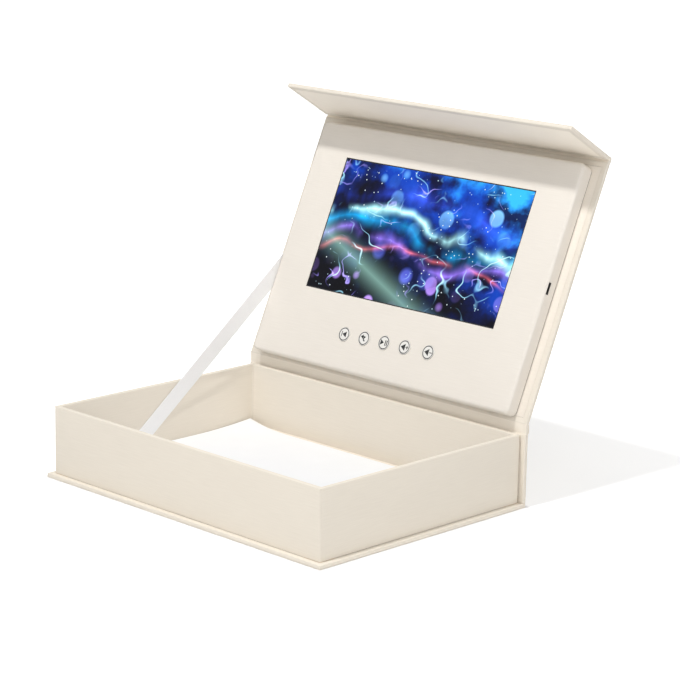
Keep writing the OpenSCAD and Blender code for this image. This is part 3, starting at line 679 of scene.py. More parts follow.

# %% [markdown]
# A hinge is the outer paper, rolled closed over its bend, and a sheet of paper inside. Each starts
# as one narrow plane across the box, and its long edge is extruded from point to point round the
# bend, so there are faces enough for it to fold. The outer strip is then extruded once more, on
# to the inner curve, which closes its ends. They cross a joint, and are laid in the open pose
# with no body of their own.

# %% Paper hinges
HINGE_PAPER = 0.4 * MM
HINGE_STEPS = 10
HINGE_BULGE = 1.6 * MM
FOLD_DEPTH = 1.4
ROLL_ROUND = 0.3 * MM
ROLL_EDGE = math.radians(60)


def paper_strip(name, points, half_width, thickness):
    """A strip across the box that follows (y, z) points, thickened to one side."""
    deselect_all()
    bpy.ops.mesh.primitive_plane_add(size=2)
    piece = bpy.context.object
    piece.name = name
    for vertex in piece.data.vertices:
        y, z = points[0] if vertex.co.y < 0 else points[1]
        vertex.co = (math.copysign(half_width, vertex.co.x), y, z)
    edit(piece)
    for last, point in zip(points[1:], points[2:]):
        pick_edges(piece, lambda a, b: all(near(p.y, last.x) and near(p.z, last.y) for p in (a, b)))
        extrude((0, *(point - last)))
    done()
    if thickness:
        apply_modifier(piece, "SOLIDIFY", thickness=thickness, offset=-1)
    return piece


def paper_roll(name, outer, inner, half_width):
    """A closed roll across the box, between two curves with as many points each."""
    piece = paper_strip(name, outer, half_width, 0)
    edit(piece)
    bpy.ops.mesh.select_all(action="SELECT")
    bpy.ops.mesh.extrude_region_move()
    mesh = bmesh.from_edit_mesh(piece.data)
    for vertex in mesh.verts:
        if vertex.select:
            k = min(range(len(outer)), key=lambda i: (vertex.co.yz - outer[i]).length)
            vertex.co.yz = inner[k]
    bmesh.update_edit_mesh(piece.data)
    normals_out()
    done()
    apply_modifier(piece, "BEVEL", width=ROLL_ROUND, segments=3, angle_limit=ROLL_EDGE)
    return piece


def bend(start, middle, end, steps=HINGE_STEPS):
    """Points of a smooth bend from start to end that is drawn towards its middle point."""
    shares = [k / steps for k in range(steps + 1)]
    return [start * (1 - t) ** 2 + middle * 2 * t * (1 - t) + end * t ** 2 for t in shares]


def lid_point(v, n):
    """A point of the lid's frame, as (y, z) in the box's frame."""
    return (lid_frame @ Vector((0, v, n))).yz


def under(inner, outer):
    """The inner curve, moved half a paper towards the outer one."""
    return [p + (q - p).normalized() * HINGE_PAPER / 2 for p, q in zip(inner, outer)]


def add_hinge(name, outer, inner, half):
    """A hinge of outer paper and inner sheet, along two curves from the first body to the second."""
    roll = paper_roll(name + "_paper", outer, under(inner, outer), half)
    sheet = paper_strip(name + "_sheet", inner, half - SHEET_GAP, HINGE_PAPER)
    pieces = ((roll, "_strip", "cover_paper", cover_paper, outer),
              # The hinge sheets take the paler copy of the inner paper, as painted light.
              (sheet, "_lining", "inner_paper", inner_paper_painted_light, inner))
    for piece, node, finish, material, curve in pieces:
        settle(piece, flat_frame, None, name + node, material)
        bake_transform(piece)


def add_lid_hinge():
    """The outer and the inner hinge paper between spine and lid."""
    low, high = box_in("lid_cover", lid_frame)
    spine_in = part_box("spine_cover")[0][1]
    outer_start = Vector((back_y, rim_z - EDGE_ROUND))
    outer_end = lid_point(low.y + EDGE_ROUND, low.z)
    outer = bend(outer_start, Vector((back_y + HINGE_BULGE, hinge.z)), outer_end)
    inner_start = Vector((spine_in + EDGE_ROUND, rim_z))
    inner_end = lid_point(low.y + EDGE_ROUND, high.z)
    inner = bend(inner_start, (inner_start + inner_end) / 2, inner_end)
    add_hinge("lid_hinge", outer, inner, high.x)


add_lid_hinge()


def add_flap_hinge():
    """The outer and the inner fold paper between lid and flap."""
    low, high = box_in("flap_cover", flap_frame)
    r = high.z
    centre = lid_frame.inverted() @ fold

    def at(u, m, turn):
        """A point at u along and m above the lid, turned about the fold."""
        y = u * math.cos(turn) - m * math.sin(turn)
        z = u * math.sin(turn) + m * math.cos(turn)
        return (lid_frame @ (centre + Vector((0, y, z)))).yz

    reach = centre.y - box_in("lid_cover", lid_frame)[1].y + EDGE_ROUND
    tip = low.y + EDGE_ROUND
    outer = [at(-reach, -r, 0), at(-reach / 2, -r, 0)]
    outer += [at(0, -r, FLAP_FOLD * k / HINGE_STEPS) for k in range(HINGE_STEPS + 1)]
    outer += [at(reach / 2, -r, FLAP_FOLD), at(tip, -r, FLAP_FOLD)]
    start, end = at(-reach, r, 0), at(tip, r, FLAP_FOLD)
    middle = (start + end) / 2
    inner = bend(start, middle + (fold.yz - middle) * FOLD_DEPTH, end, len(outer) - 1)
    add_hinge("flap_hinge", outer, inner, high.x)


add_flap_hinge()

# %% [markdown]
# The padded panel is a board face on foam rails, and its paper is drawn over both. The block gets
# round corners and a soft edge by two bevels. Boolean cutters then take out the screen's window,
# the five key holes and the slot for the charging plug, because a hole that crosses a bevelled
# face is hard to inset by hand.

# %% Panel paper
PANEL_CORNER = 3.6 * MM
PANEL_SOFT = 2.0 * MM
PANEL_STEPS = 8
CUTTER_REACH = 6 * MM
GLASS_LAP = 1.6 * MM
KEY_LIP = 1.1 * MM
KEY_GAP = 0.15 * MM
SLOT_LENGTH = 7.4 * MM
SLOT_HEIGHT = 2.2 * MM
PANEL_SEAM = 0.5 * MM
KEYS = ("key_previous", "key_replay", "key_play", "key_louder", "key_quieter")


def soft_block(name, low, high, inset):
    """A block with round corners and a soft edge round its face, inset all round."""
    shrink = Vector((inset, inset, 0))
    piece = new_block(name, low + shrink, high - shrink - Vector((0, 0, inset)))
    edit(piece)
    pick_upright(piece)
    bevel(PANEL_CORNER - inset, PANEL_STEPS)
    pick_level(piece, high.z - inset)
    bevel(PANEL_SOFT - inset, PANEL_STEPS)
    done()
    return piece


def cut(piece, cutter):
    """Takes the cutter out of the piece and throws the cutter away."""
    apply_modifier(piece, "BOOLEAN", operation="DIFFERENCE", object=cutter, solver="EXACT")
    bpy.data.objects.remove(cutter)


def key_middle(node):
    """Middle of a key in the lid's frame, and its two diameters."""
    low, high = box_in(node, lid_frame)
    lip = high.x - low.x
    return (low + high) / 2, lip - 2 * KEY_LIP, lip


def add_panel_paper():
    """The panel's paper with its window, key holes and slot."""
    low, high = box_in("panel_cover", lid_frame)
    low.z += PANEL_SEAM
    piece = soft_block("panel_paper", low, high, 0)
    cut(piece, soft_block("inside", low - Vector((0, 0, PAPER)), high, PAPER))
    glass_low, glass_high = box_in("screen_glass", lid_frame)
    lap = Vector((GLASS_LAP, GLASS_LAP, 0))
    reach = Vector((0, 0, CUTTER_REACH))
    cut(piece, new_block("window", glass_low + lap, glass_high - lap + reach))
    for node in KEYS:
        middle, bore, _ = key_middle(node)
        cut(piece, new_rod(bore / 2 + KEY_GAP, CUTTER_REACH, (middle.x, middle.y, high.z)))
    socket_low, socket_high = box_in("usb_socket", lid_frame)
    centre = (socket_low + socket_high) / 2
    half = Vector((0, SLOT_LENGTH / 2, SLOT_HEIGHT / 2))
    slot_low = Vector((socket_low.x, centre.y, centre.z)) - half
    slot_high = Vector((high.x + MM, centre.y, centre.z)) + half
    cut(piece, new_block("slot", slot_low, slot_high))
    settle(piece, lid_frame, "lid", "panel_cover", panel_linen)


add_panel_paper()

# %% [markdown]
# The screen shows a moving picture, and one plain frame of it is made of nodes: a night sky behind
# dark drifts, ribbons and thin threads of light, soft round lights, sparks, and a pale diagonal band
# of painted glare, a reflection painted into the picture. Every light is screened over what lies
# behind it, as light adds up. The picture has a UV map of its own, so it stays on the glass when
# the lid moves.

# %% Screen picture
PICTURE_W = 154.2 * MM
PICTURE_H = 83.4 * MM
# Place on the ramp, colour
SKY = (
    (0.28, (0.001, 0.003, 0.012)),
    (0.46, (0.003, 0.016, 0.090)),
    (0.60, (0.008, 0.080, 0.400)),
    (0.74, (0.070, 0.420, 0.900)),
)
# Height, swing, width, colour, beat, brightness of its patches
RIBBONS = (
    (0.52, 0.30, 0.110, (0.03, 0.50, 0.90), 6.2, 3.0),
    (0.60, 0.42, 0.070, (0.60, 0.92, 1.00), 5.0, 4.4),
    (0.72, 0.26, 0.140, (0.10, 0.18, 0.90), 4.2, 2.6),
    (0.40, 0.36, 0.085, (0.46, 0.30, 0.95), 7.1, 3.2),
    (0.32, 0.30, 0.040, (0.95, 0.26, 0.28), 3.3, 2.6),
)
# Scale, width, colour, shift of the pattern, where its patches start
THREADS = (
    (4.6, 0.016, (0.50, 0.80, 1.00), (5.0, 2.0, 0), 0.50),
    (6.4, 0.020, (0.50, 0.40, 0.95), (1.4, 7.7, 0), 0.54),
)
# Cells up the picture, size, colour, shift of the pattern, slant and start of its band
LIGHTS = (
    (6.0, 0.28, (0.22, 0.24, 0.80), 0.0, -2.4, 1.25),
    (11.0, 0.36, (0.50, 0.32, 0.80), 4.3, -2.0, 1.05),
    (9.0, 0.34, (0.35, 0.62, 1.00), 8.7, 2.2, -1.05),
)


def picture_nodes(tree):
    """The colours of the lit picture, from the picture's own UV map."""
    uv = uv_map(tree, "picture")
    parts = add_node(tree, "SeparateXYZ", {0: uv}).outputs
    u, v = parts["X"], parts["Y"]

    def times(a, b, clamp=False):
        """The product of two values."""
        return calc(tree, "MULTIPLY", a, b, clamp=clamp)

    def plus(a, b, clamp=False):
        """The sum of two values."""
        return calc(tree, "ADD", a, b, clamp=clamp)

    def rise(a, b, power):
        """How far a stands above b, times a power, from 0 to 1."""
        return times(calc(tree, "SUBTRACT", a, b), power, True)

    def glow(value, line, width):
        """1 on a line, falling to 0 at that width from it."""
        away = calc(tree, "ABSOLUTE", calc(tree, "SUBTRACT", value, line))
        return calc(tree, "SUBTRACT", 1.0, calc(tree, "DIVIDE", away, width), clamp=True)

    def laid(kind, base, colour, factor=1.0, **settings):
        """The base with a plain colour laid over it as far as the factor says."""
        given = {"Factor": factor, "A": base, "B": (*colour, 1)}
        mix = add_node(tree, "Mix", given, data_type="RGBA", blend_type=kind, **settings)
        return mix.outputs["Result"]

    def cells(stretch, shift, scale, loose):
        """Cells round points that are spread over the picture."""
        place = add_node(tree, "Mapping", {"Vector": uv, "Location": shift, "Scale": stretch})
        given = {"Vector": place.outputs["Vector"], "Scale": scale, "Randomness": loose}
        return add_node(tree, "TexVoronoi", given).outputs

    # Deep sky, lighter towards the upper right
    slope = plus(times(u, 0.45), times(v, 0.55))
    cloud = noise(tree, uv, 3.0, 5, (1.8, 1.0, 1))
    sky = add_node(tree, "ValToRGB", {"Fac": plus(times(slope, 0.50), times(cloud, 0.50))})
    sky.color_ramp.interpolation = "EASE"
    stops = sky.color_ramp.elements
    while len(stops) < len(SKY):
        stops.new(0.5)
    for stop, (at, colour) in zip(stops, SKY):
        stop.position = at
        stop.color = (*colour, 1)

    # Dark drifts of cloud in front of the sky
    veil = rise(noise(tree, uv, 3.6, 4, (1.7, 1.0, 1), (2.3, 6.1, 0)), 0.43, 7.5)
    hidden = calc(tree, "SUBTRACT", 1.0, veil)
    picture = laid("MULTIPLY", sky.outputs["Color"], (0.10, 0.10, 0.16), hidden)

    # Ribbons of light that drift across the middle
    drift = noise(tree, uv, 2.2, 2, (1.6, 0.7, 1), (3.1, 1.7, 0))
    for height, swing, width, colour, beat, power in RIBBONS:
        wave = calc(tree, "SINE", times(u, beat))
        line = plus(times(wave, 0.09), height - swing / 2)
        line = plus(line, times(drift, swing))
        soft = calc(tree, "POWER", glow(v, line, width), 1.8)
        patch = rise(noise(tree, uv, 5.0, 3, (1.4, 0.4, 1), (height * 9, 0, 0)), 0.36, power)
        picture = laid("SCREEN", picture, colour, times(soft, patch, True))

    # Thin threads of light, in patches
    for scale, width, colour, shift, low in THREADS:
        thread = glow(noise(tree, uv, scale, 1.4, (1.5, 1.0, 1), shift), 0.5, width)
        patch = noise(tree, uv, 3.2, 2, (1.5, 1.0, 1), (shift[1], shift[0], 0))
        picture = laid("SCREEN", picture, colour, times(thread, rise(patch, low, 7)))

    # Soft round lights, violet below and pale blue above
    for count, low, colour, shift, slant, start in LIGHTS:
        stretch = (PICTURE_W / PICTURE_H * count / 2, count / 2, 1)
        cell = cells(stretch, (shift, shift, 0), 1.0, 0.85)
        shade = add_node(tree, "SeparateColor", {0: cell["Color"]}).outputs["Red"]
        chosen = times(rise(low, cell["Distance"], 14), calc(tree, "POWER", shade, 1.4))
        band = plus(times(v, slant), start, True)
        picture = laid("SCREEN", picture, colour, times(chosen, band))

    # Small bright sparks
    spark = cells((PICTURE_W / PICTURE_H, 1, 1), (0, 0, 0), 26, 1.0)
    patch = rise(noise(tree, uv, 4.0, 1, (1, 1, 1), (7, 2, 0)), 0.47, 8)
    point = rise(0.15, spark["Distance"], 14)
    picture = laid("SCREEN", picture, (0.70, 0.85, 1.0), times(point, patch))

    # A pale band of painted glare, a reflection painted into the picture, from the left down to the middle of the
    # lower edge
    across = plus(times(u, 0.62), times(v, 0.78))
    painted_glare = calc(tree, "POWER", glow(across, 0.34, 0.16), 1.7)
    picture = laid("SCREEN", picture, (0.26, 0.38, 0.36), times(painted_glare, 0.80))

    # More contrast, as a screen shows its pictures
    deep = add_node(tree, "Gamma", {"Color": picture, "Gamma": 1.45}).outputs["Color"]
    return laid("MULTIPLY", deep, (2.0, 2.15, 2.0), clamp_result=True)


print("picture:", len(RIBBONS), "ribbons,", len(THREADS) + len(LIGHTS), "layers of small lights")

# %% [markdown]
# The glass is a flat sheet behind the window, with a thin black border round the lit picture. The
# picture's face is inset into the sheet's own face and glows by itself, because the light behind
# a real one is even and shows from all sides.

# %% Screen glass


def screen_materials():
    """The black border and the lit picture."""
    border, tree, shader = new_material("screen_border")
    dirt = noise(tree, solid_place(tree), 900, 2)
    rough = span(tree, dirt, results=(0.16, 0.26))
    feed(tree, shader, {"Base Color": (0.006, 0.006, 0.008, 1), "Roughness": rough})
    picture, tree, shader = new_material("screen_picture")
    feed(tree, shader, {
        "Base Color": (0.004, 0.004, 0.006, 1),
        "Roughness": 0.28,
        "Specular IOR Level": 0.08,
        "Emission Color": picture_nodes(tree),
        "Emission Strength": 1.0,
    })
    return border, picture


def add_screen():
    """The glass, with the picture's face inset into its border."""
    low, high = box_in("screen_glass", lid_frame)
    piece = new_block("screen_face", low, high)
    edit(piece)
    pick_up(piece)
    bpy.ops.mesh.inset(thickness=(high.x - low.x - PICTURE_W) / 2)
    done()
    draw_map(piece, "grain", along_face)
    middle = (low + high) / 2
    draw_map(piece, "picture", lambda face, point: (
        (point.x - middle.x) / PICTURE_W + 0.5, (point.y - middle.y) / PICTURE_H + 0.5))
    two_tone(piece, screen_materials(), lambda c: (c - middle).xy.length < MM and near(c.z, high.z))
    settle(piece, lid_frame, "lid", "screen_glass")


add_screen()

# %% [markdown]
# The keys are white plastic buttons with a thin near-black ring and a sign each; the ring is
# partly print and partly painted shade of the gap round the key. Plastic, print, foam and metal
# share one recipe: a fine noise that runs between two tones, between two values of roughness and,
# where it is given a depth, in the surface too.

# %% Key materials
KEY_LIP_T = 0.8 * MM
LIP_GAP = 0.1 * MM
CAP_SOFT = 0.18 * MM
STEM_RADIUS = 1.7 * MM
STEM_SOFT = 0.2 * MM
RING_EDGE = 0.12 * MM
RING_WIDTH = 0.58 * MM
PRINT_T = 0.03 * MM
KEY_TONES = ((0.76, 0.745, 0.71), (0.80, 0.785, 0.75))
PRINT_TONES = ((0.008, 0.008, 0.009), (0.018, 0.018, 0.020))
# Near-black ring at the cap's edge: partly print, partly painted shade of the gap round the key.
RING_PRINT_AND_SHADE_TONES = ((0.010, 0.010, 0.012), (0.030, 0.030, 0.034))


def speckled(name, low, high, scale, rough, depth=0.0, specular=0.5):
    """A plain finish with a fine noise in its colour, roughness and surface."""
    material, tree, shader = new_material(name)
    grain = noise(tree, solid_place(tree), scale, 4)
    feed(tree, shader, {
        "Base Color": blended(tree, grain, low, high),
        "Roughness": span(tree, grain, results=rough),
        "Specular IOR Level": specular,
    })
    if depth:
        bump(tree, shader, grain, 0.4, depth)
    return material, tree, shader


key_white = speckled("key_white", *KEY_TONES, 900, (0.36, 0.46))[0]
key_print = speckled("key_print", *PRINT_TONES, 1500, (0.5, 0.6))[0]
ring_print_and_shade = speckled("ring_print_and_shade", *RING_PRINT_AND_SHADE_TONES, 1100, (0.5, 0.6))[0]
print("key finishes:", key_white.name, key_print.name, ring_print_and_shade.name)

# %% [markdown]
# A key is turned up in steps from its lip: inset to the cap, extrude, and soften the cap's edge.
# The ring is a narrow inset with its own near-black material, partly print and partly painted
# shade of the gap round the key, and a stem under the lip reaches down to the switch. Each key
# rides a body of its own, because it is pressed on its own.

# %% Key caps


def add_key(node):
    """One key with its ring, modelled round its own axis."""
    low, high = box_in(node, lid_frame)
    middle, cap_d, lip_d = key_middle(node)
    lip_top = box_in("panel_face_board", lid_frame)[0].z - LIP_GAP
    piece = new_rod(lip_d / 2, KEY_LIP_T, (middle.x, middle.y, lip_top - KEY_LIP_T / 2))
    piece.name = node + "_cap"
    apply_place()
    edit(piece)
    pick_up(piece)
    bpy.ops.mesh.inset(thickness=(lip_d - cap_d) / 2)
    extrude((0, 0, high.z - lip_top))
    pick_level(piece, high.z)
    bevel(CAP_SOFT, 3)
    pick_top(piece, high.z)
    bpy.ops.mesh.inset(thickness=RING_EDGE)
    bpy.ops.mesh.inset(thickness=RING_WIDTH)
    done()
    outer = cap_d / 2 - CAP_SOFT - RING_EDGE
    # The ring faces take the near-black finish: print and painted shade of the gap round the key.
    two_tone(piece, (key_white, ring_print_and_shade), lambda c: near(c.z, high.z) and
             outer - RING_WIDTH < (c - middle).xy.length < outer)
    join((piece, new_stem(middle, low.z, lip_top - KEY_LIP_T)))
    settle(piece, lid_frame, node, node)


def new_stem(middle, low, top):
    """The stem under a key's lip, down to its switch."""
    stem = new_rod(STEM_RADIUS, top - low, (middle.x, middle.y, (top + low) / 2), ROUND_SIDES // 2)
    apply_place()
    edit(stem)
    pick_level(stem, low)
    bevel(STEM_SOFT, 2)
    done()
    stem.data.materials.append(key_white)
    return stem


for node in KEYS:
    add_key(node)

# %% [markdown]
# The signs are the usual ones of a player: back to the start, play again, play or pause, louder
# and quieter. Each is drawn from triangles and bars in a unit of its own, and the arrow's tail is
# a short edge spun round a centre. They are a few hundredths of a millimetre thick, which is what
# a print looks like from close by.

# %% Key signs
UNIT = 1.5 * MM
RING_STEPS = 16
# Middle, width and height of each shape, and where its tip points
SIGNS = {
    "key_previous": ((-1.25, 0, 0.32, 2.3), (0.15, 0, 2.1, 2.5, -1)),
    "key_replay": ((-1.15, 0.60, 1.4, 1.9, -1), (0.10, 0.60, 1.2, 0.5)),
    "key_play": ((-0.95, 0, 1.9, 2.4, 1), (0.75, 0, 0.46, 2.3), (1.60, 0, 0.46, 2.3)),
    "key_quieter": ((-0.75, 0, 2.3, 2.9, -1), (1.45, 0, 1.35, 0.36)),
}
SIGNS["key_louder"] = (*SIGNS["key_quieter"], (1.45, 0.43, 0.36, 0.5), (1.45, -0.43, 0.36, 0.5))


def flat_bar(x, y, width, height, point=0):
    """A flat bar, or a triangle whose tip points left (-1) or right (1)."""
    deselect_all()
    bpy.ops.mesh.primitive_plane_add(size=1, location=(x * UNIT, y * UNIT, 0))
    sign = bpy.context.object
    sign.scale = (width * UNIT, height * UNIT, 1)
    apply_place()
    if point:
        edit(sign)
        mesh = bmesh.from_edit_mesh(sign.data)
        for vertex in mesh.verts:
            if (vertex.co.x - x * UNIT) * point > 0:
                vertex.co.y = y * UNIT
        bmesh.ops.remove_doubles(mesh, verts=mesh.verts, dist=MM / 1000)
        bmesh.update_edit_mesh(sign.data)
        done()
    return sign


def half_ring(x, y, radius, width):
    """A flat half ring that is open to the left."""
    deselect_all()
    bpy.ops.mesh.primitive_plane_add(size=1)
    sign = bpy.context.object
    edit(sign)
    bpy.ops.mesh.delete(type="ONLY_FACE")
    mesh = bmesh.from_edit_mesh(sign.data)
    ends = sorted(mesh.verts, key=lambda v: (v.co.y, v.co.x))
    for vertex, reach in zip(ends, (radius - width / 2, radius + width / 2)):
        vertex.co = (0, -reach * UNIT, 0)
    bmesh.ops.delete(mesh, geom=ends[2:], context="VERTS")
    bmesh.update_edit_mesh(sign.data)
    bpy.ops.mesh.select_all(action="SELECT")
    bpy.ops.mesh.spin(steps=RING_STEPS, angle=math.pi, center=(0, 0, 0), axis=(0, 0, 1))
    normals_out()
    done()
    sign.location = (x * UNIT, y * UNIT, 0)
    apply_place()
    return sign


def add_sign(node):
    """One key's sign, thickened and laid on the cap."""
    low, high = box_in(node, lid_frame)
    middle = (low + high) / 2
    shapes = [flat_bar(*shape) for shape in SIGNS[node]]
    if node == "key_replay":
        shapes.append(half_ring(0.7, -0.20, 0.80, 0.5))
    join(shapes)
    sign = shapes[0]
    sign.name = node + "_sign"
    edit(sign)
    normals_out()
    mesh = bmesh.from_edit_mesh(sign.data)
    for face in mesh.faces:
        if face.normal.z < 0:
            face.normal_flip()
    bmesh.update_edit_mesh(sign.data)
    done()
    apply_modifier(sign, "SOLIDIFY", thickness=PRINT_T, offset=-1)
    place = lid_frame @ Matrix.Translation((middle.x, middle.y, high.z + PRINT_T / 2))
    settle(sign, place, node, None, key_print)


for node in KEYS:
    add_sign(node)

# %% [markdown]
# The charging socket is a folded steel shell round a black tongue. It sits back in the panel's
# side, so little of it shows: a dark mouth with a thin bright edge. The shell is a short block
# with round edges, its mouth face inset and pushed in, and the tongue is a bevelled block.

# %% Charging socket
SHELL_WALL = 0.3 * MM
SHELL_ROUND = 0.5 * MM
SHELL_DEEP = 4.4 * MM
TONGUE_T = 0.6 * MM
TONGUE_BACK = 0.8 * MM
TONGUE_SOFT = 0.12 * MM
STEEL_TONES = ((0.42, 0.42, 0.43), (0.56, 0.56, 0.57))
BLACK_TONES = ((0.012, 0.012, 0.013), (0.03, 0.03, 0.032))

steel, tree, shader = speckled("socket_steel", *STEEL_TONES, 1400, (0.28, 0.42))
feed(tree, shader, {"Metallic": 1.0})
black_plastic = speckled("black_plastic", *BLACK_TONES, 1200, (0.42, 0.6))[0]


def add_socket():
    """The socket's shell and its tongue as one piece."""
    low, high = box_in("usb_socket", lid_frame)
    piece = new_block("socket_shell", low, high)
    edit(piece)
    pick_edges(piece, lambda a, b: near(a.y, b.y) and near(a.z, b.z))
    bevel(SHELL_ROUND, 3)
    pick_faces(piece, lambda n, c: n.x > FACING)
    bpy.ops.mesh.inset(thickness=SHELL_WALL)
    extrude((-SHELL_DEEP, 0, 0))
    done()
    piece.data.materials.append(steel)
    centre = (low + high) / 2
    width = (high.y - low.y) / 4
    tongue = new_block(
        "tongue",
        Vector((high.x - SHELL_DEEP, centre.y - width, centre.z - TONGUE_T / 2)),
        Vector((high.x - TONGUE_BACK, centre.y + width, centre.z + TONGUE_T / 2)),
    )
    edit(tongue)
    pick_edges(tongue, lambda a, b: near(a.x, b.x))
    bevel(TONGUE_SOFT, 2)
    done()
    tongue.data.materials.append(black_plastic)
    join((piece, tongue))
    settle(piece, lid_frame, "lid", "usb_socket")


add_socket()

# %% [markdown]
# The foam sheet lies loose in the tray. It is a crowned slab: flat below, soft round its edge,
# and its back left corner has curled up, as cut foam does. A grid is thickened, its rim is
# rounded, and the corner is lifted by a smooth falloff. Its skin is white with a very fine
# pore, much duller and whiter than the paper.

# %% Foam sheet
PAD_CELLS_X = 110
PAD_CELLS_Y = 76
PAD_THICK = 2.2 * MM
PAD_SOFT = 3.0 * MM
PAD_CURL_REACH = 42 * MM
PAD_SLIP = Vector((1.0, 3.2)) * MM
FOAM_TONES = ((0.82, 0.825, 0.835), (0.855, 0.86, 0.87))
PORE_DEPTH = 0.06 * MM


def pad_thickness(x, y, low, high):
    """Thickness of the foam at a point of its plan, with its rim rounded."""
    edge = min(x - low.x, high.x - x, y - low.y, high.y - y, PAD_SOFT)
    return PAD_THICK * (0.5 + 0.5 * math.sqrt(max(0, 1 - (1 - edge / PAD_SOFT) ** 2)))


def pad_lift(x, y, low, high):
    """How far a point takes part in the curl, from 0 to 1 in the corner."""
    return max(0, 1 - math.hypot(x - low.x, y - high.y) / PAD_CURL_REACH) ** 2


def foam_material():
    """White foam: a faint cloud in the colour and fine pores in the surface."""
    material, tree, shader = speckled("white_foam", *FOAM_TONES, 60, (0.85, 0.95), 0, 0.2)
    bump(tree, shader, noise(tree, solid_place(tree), 2600, 3), 0.5, PORE_DEPTH)
    feed(tree, shader, {
        "Subsurface Weight": 0.15,
        "Subsurface Radius": (2 * MM, 2 * MM, 2 * MM),
        "Sheen Weight": 0.15,
    })
    return material


def add_foam():
    """The foam sheet with its curled corner."""
    low, high = box_in("foam_sheet", flat_frame)
    high.y -= PAD_SLIP.y
    curl = high.z - low.z - PAD_THICK / 2
    middle = (low + high) / 2
    deselect_all()
    place = (middle.x, middle.y, low.z)
    bpy.ops.mesh.primitive_grid_add(
        x_subdivisions=PAD_CELLS_X, y_subdivisions=PAD_CELLS_Y, size=1, location=place)
    piece = bpy.context.object
    piece.name = "foam_pad"
    piece.scale = (high.x - low.x, high.y - low.y, 1)
    apply_place()
    edit(piece)
    bpy.ops.mesh.select_all(action="SELECT")
    extrude((0, 0, PAD_THICK))
    normals_out()
    done()
    for vertex in piece.data.vertices:
        x, y = vertex.co.xy
        lift = pad_lift(x, y, low, high)
        skin = 0 if vertex.co.z < low.z + PAD_THICK / 2 else pad_thickness(x, y, low, high)
        vertex.co = (x + PAD_SLIP.x * lift, y + PAD_SLIP.y * lift, low.z + skin + curl * lift)
    settle(piece, flat_frame, "base", "foam_sheet", foam_material())


add_foam()

# %% [markdown]
# The ribbon is a strip of white satin, pulled tight by the weight of the lid. It leaves the left
# wall of the tray, crosses over and runs in beside the panel. It is a grid laid along that line,
# with fine threads across it. It is laid in the open pose, with no body of its own.

# %% Ribbon
RIBBON_W = 10.5 * MM
RIBBON_T = 0.3 * MM
RIBBON_FOOT = 55.8 * MM
RIBBON_TOP = 71.5 * MM
RIBBON_STEPS = 64
RIBBON_ACROSS = 6
RIBBON_CROSS = (0.05, 0.86)
SATIN_THREADS = (500, 4200, 1)
SATIN_TONES = ((0.86, 0.86, 0.865), (0.95, 0.95, 0.955))
THREAD_DEPTH = 0.05 * MM


def satin_material():
    """White satin with its threads across the ribbon."""
    material, tree, shader = new_material("white_satin")
    thread = noise(tree, uv_map(tree, "grain"), 1.0, 2, SATIN_THREADS)
    feed(tree, shader, {
        "Base Color": blended(tree, thread, *SATIN_TONES),
        "Roughness": span(tree, thread, results=(0.36, 0.5)),
        "Sheen Weight": 0.3,
    })
    bump(tree, shader, thread, 0.3, THREAD_DEPTH)
    return material


def add_ribbon():
    """The ribbon as a thin woven strip from wall to panel."""
    low, high = box_in("ribbon_stay", flat_frame)
    x_wall, x_panel = low.x + RIBBON_T / 2, high.x - RIBBON_T / 2
    foot = Vector((box_in("tray_wrap", flat_frame)[0].y + RIBBON_FOOT, low.z))
    top = lid_point(RIBBON_TOP, SEAT_GAP)
    run = top - foot
    length = run.length
    deselect_all()
    bpy.ops.mesh.primitive_grid_add(
        x_subdivisions=RIBBON_STEPS, y_subdivisions=RIBBON_ACROSS, size=1)
    piece = bpy.context.object
    piece.name = "ribbon"
    draw_map(piece, "grain", lambda face, point: (
        (point.x + 0.5) * length, (point.y + 0.5) * RIBBON_W))
    # The lower edge of the strip is cut level with the floor, the upper edge along the lid
    along = run / length
    across = Vector((-along.y, along.x))
    lid_side = lid_point(1, 0) - lid_point(0, 0)
    cross, crossed = RIBBON_CROSS
    for vertex in piece.data.vertices:
        t = vertex.co.x + 0.5
        side = vertex.co.y * RIBBON_W
        start = foot + Vector((side / -along.y, 0))
        end = top + lid_side * (side / lid_side.dot(across))
        point = start + (end - start) * t
        share = min(1, max(0, (t - cross) / (crossed - cross)))
        vertex.co = (x_wall + (x_panel - x_wall) * share, point.x, point.y)
    apply_modifier(piece, "SOLIDIFY", thickness=RIBBON_T, offset=0)
    settle(piece, flat_frame, None, "ribbon_stay", satin_material())
    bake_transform(piece)


add_ribbon()

# %% [markdown]
# The pieces inside the panel and under the paper don't show while the box is whole, but the model
# can be taken apart, so each solid gets the finish that it would have on the bench: grey board
# with flecks, foam with pores, green boards, foil, wires. One recipe with its own numbers serves
# them all.

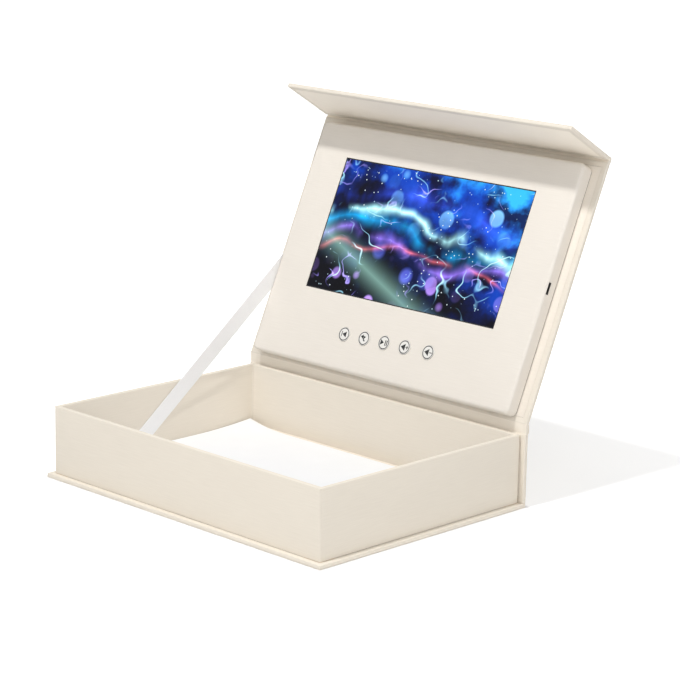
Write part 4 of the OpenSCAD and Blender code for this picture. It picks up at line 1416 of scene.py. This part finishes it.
# %% Hidden pieces
FINISHES = {
    "greyboard": ((0.26, 0.245, 0.22), (0.40, 0.38, 0.345), 700, (0.85, 0.95), 0.0),
    "kraft_tape": ((0.42, 0.28, 0.14), (0.55, 0.39, 0.22), 900, (0.6, 0.75), 0.0),
    "dark_foam": ((0.02, 0.02, 0.022), (0.06, 0.06, 0.065), 2200, (0.9, 1.0), 0.0),
    "magnet": ((0.55, 0.55, 0.56), (0.70, 0.70, 0.71), 500, (0.12, 0.22), 1.0),
    "light_guide": ((0.74, 0.75, 0.76), (0.82, 0.83, 0.84), 300, (0.3, 0.4), 0.0),
    "flex_film": ((0.50, 0.18, 0.02), (0.68, 0.28, 0.05), 600, (0.25, 0.35), 0.0),
    "circuit_board": ((0.004, 0.045, 0.02), (0.01, 0.09, 0.04), 800, (0.3, 0.45), 0.0),
    "white_plug": ((0.66, 0.64, 0.58), (0.76, 0.74, 0.68), 900, (0.45, 0.6), 0.0),
    "battery_foil": ((0.50, 0.51, 0.52), (0.62, 0.63, 0.64), 260, (0.25, 0.4), 1.0),
    "lead_red": ((0.42, 0.008, 0.006), (0.55, 0.02, 0.015), 900, (0.35, 0.5), 0.0),
    "lead_black": ((0.01, 0.01, 0.01), (0.03, 0.03, 0.03), 900, (0.4, 0.6), 0.0),
}


def dress_hidden():
    """Gives each solid that is still shown the finish of its slot."""
    finishes = {"steel": steel, "black_plastic": black_plastic}
    for name, (low, high, scale, rough, metal) in FINISHES.items():
        material, tree, shader = speckled(name, low, high, scale, rough, 0.02 * MM)
        feed(tree, shader, {"Metallic": metal})
        finishes[name] = material
    slots = {row["node"]: row["material_slot"] for row in frame["record"]["subparts"]}
    dressed = 0
    for node, piece in frame["nodes"].items():
        if piece.hide_render:
            continue
        piece.data.materials.clear()
        piece.data.materials.append(finishes[slots[node]])
        dressed += 1
    return dressed


print("solids with a finish of their own:", dress_hidden())

# %% [markdown]
# The last cell sets the scene's view transform to Standard.

# %% Finish
bpy.context.scene.view_settings.view_transform = "Standard"
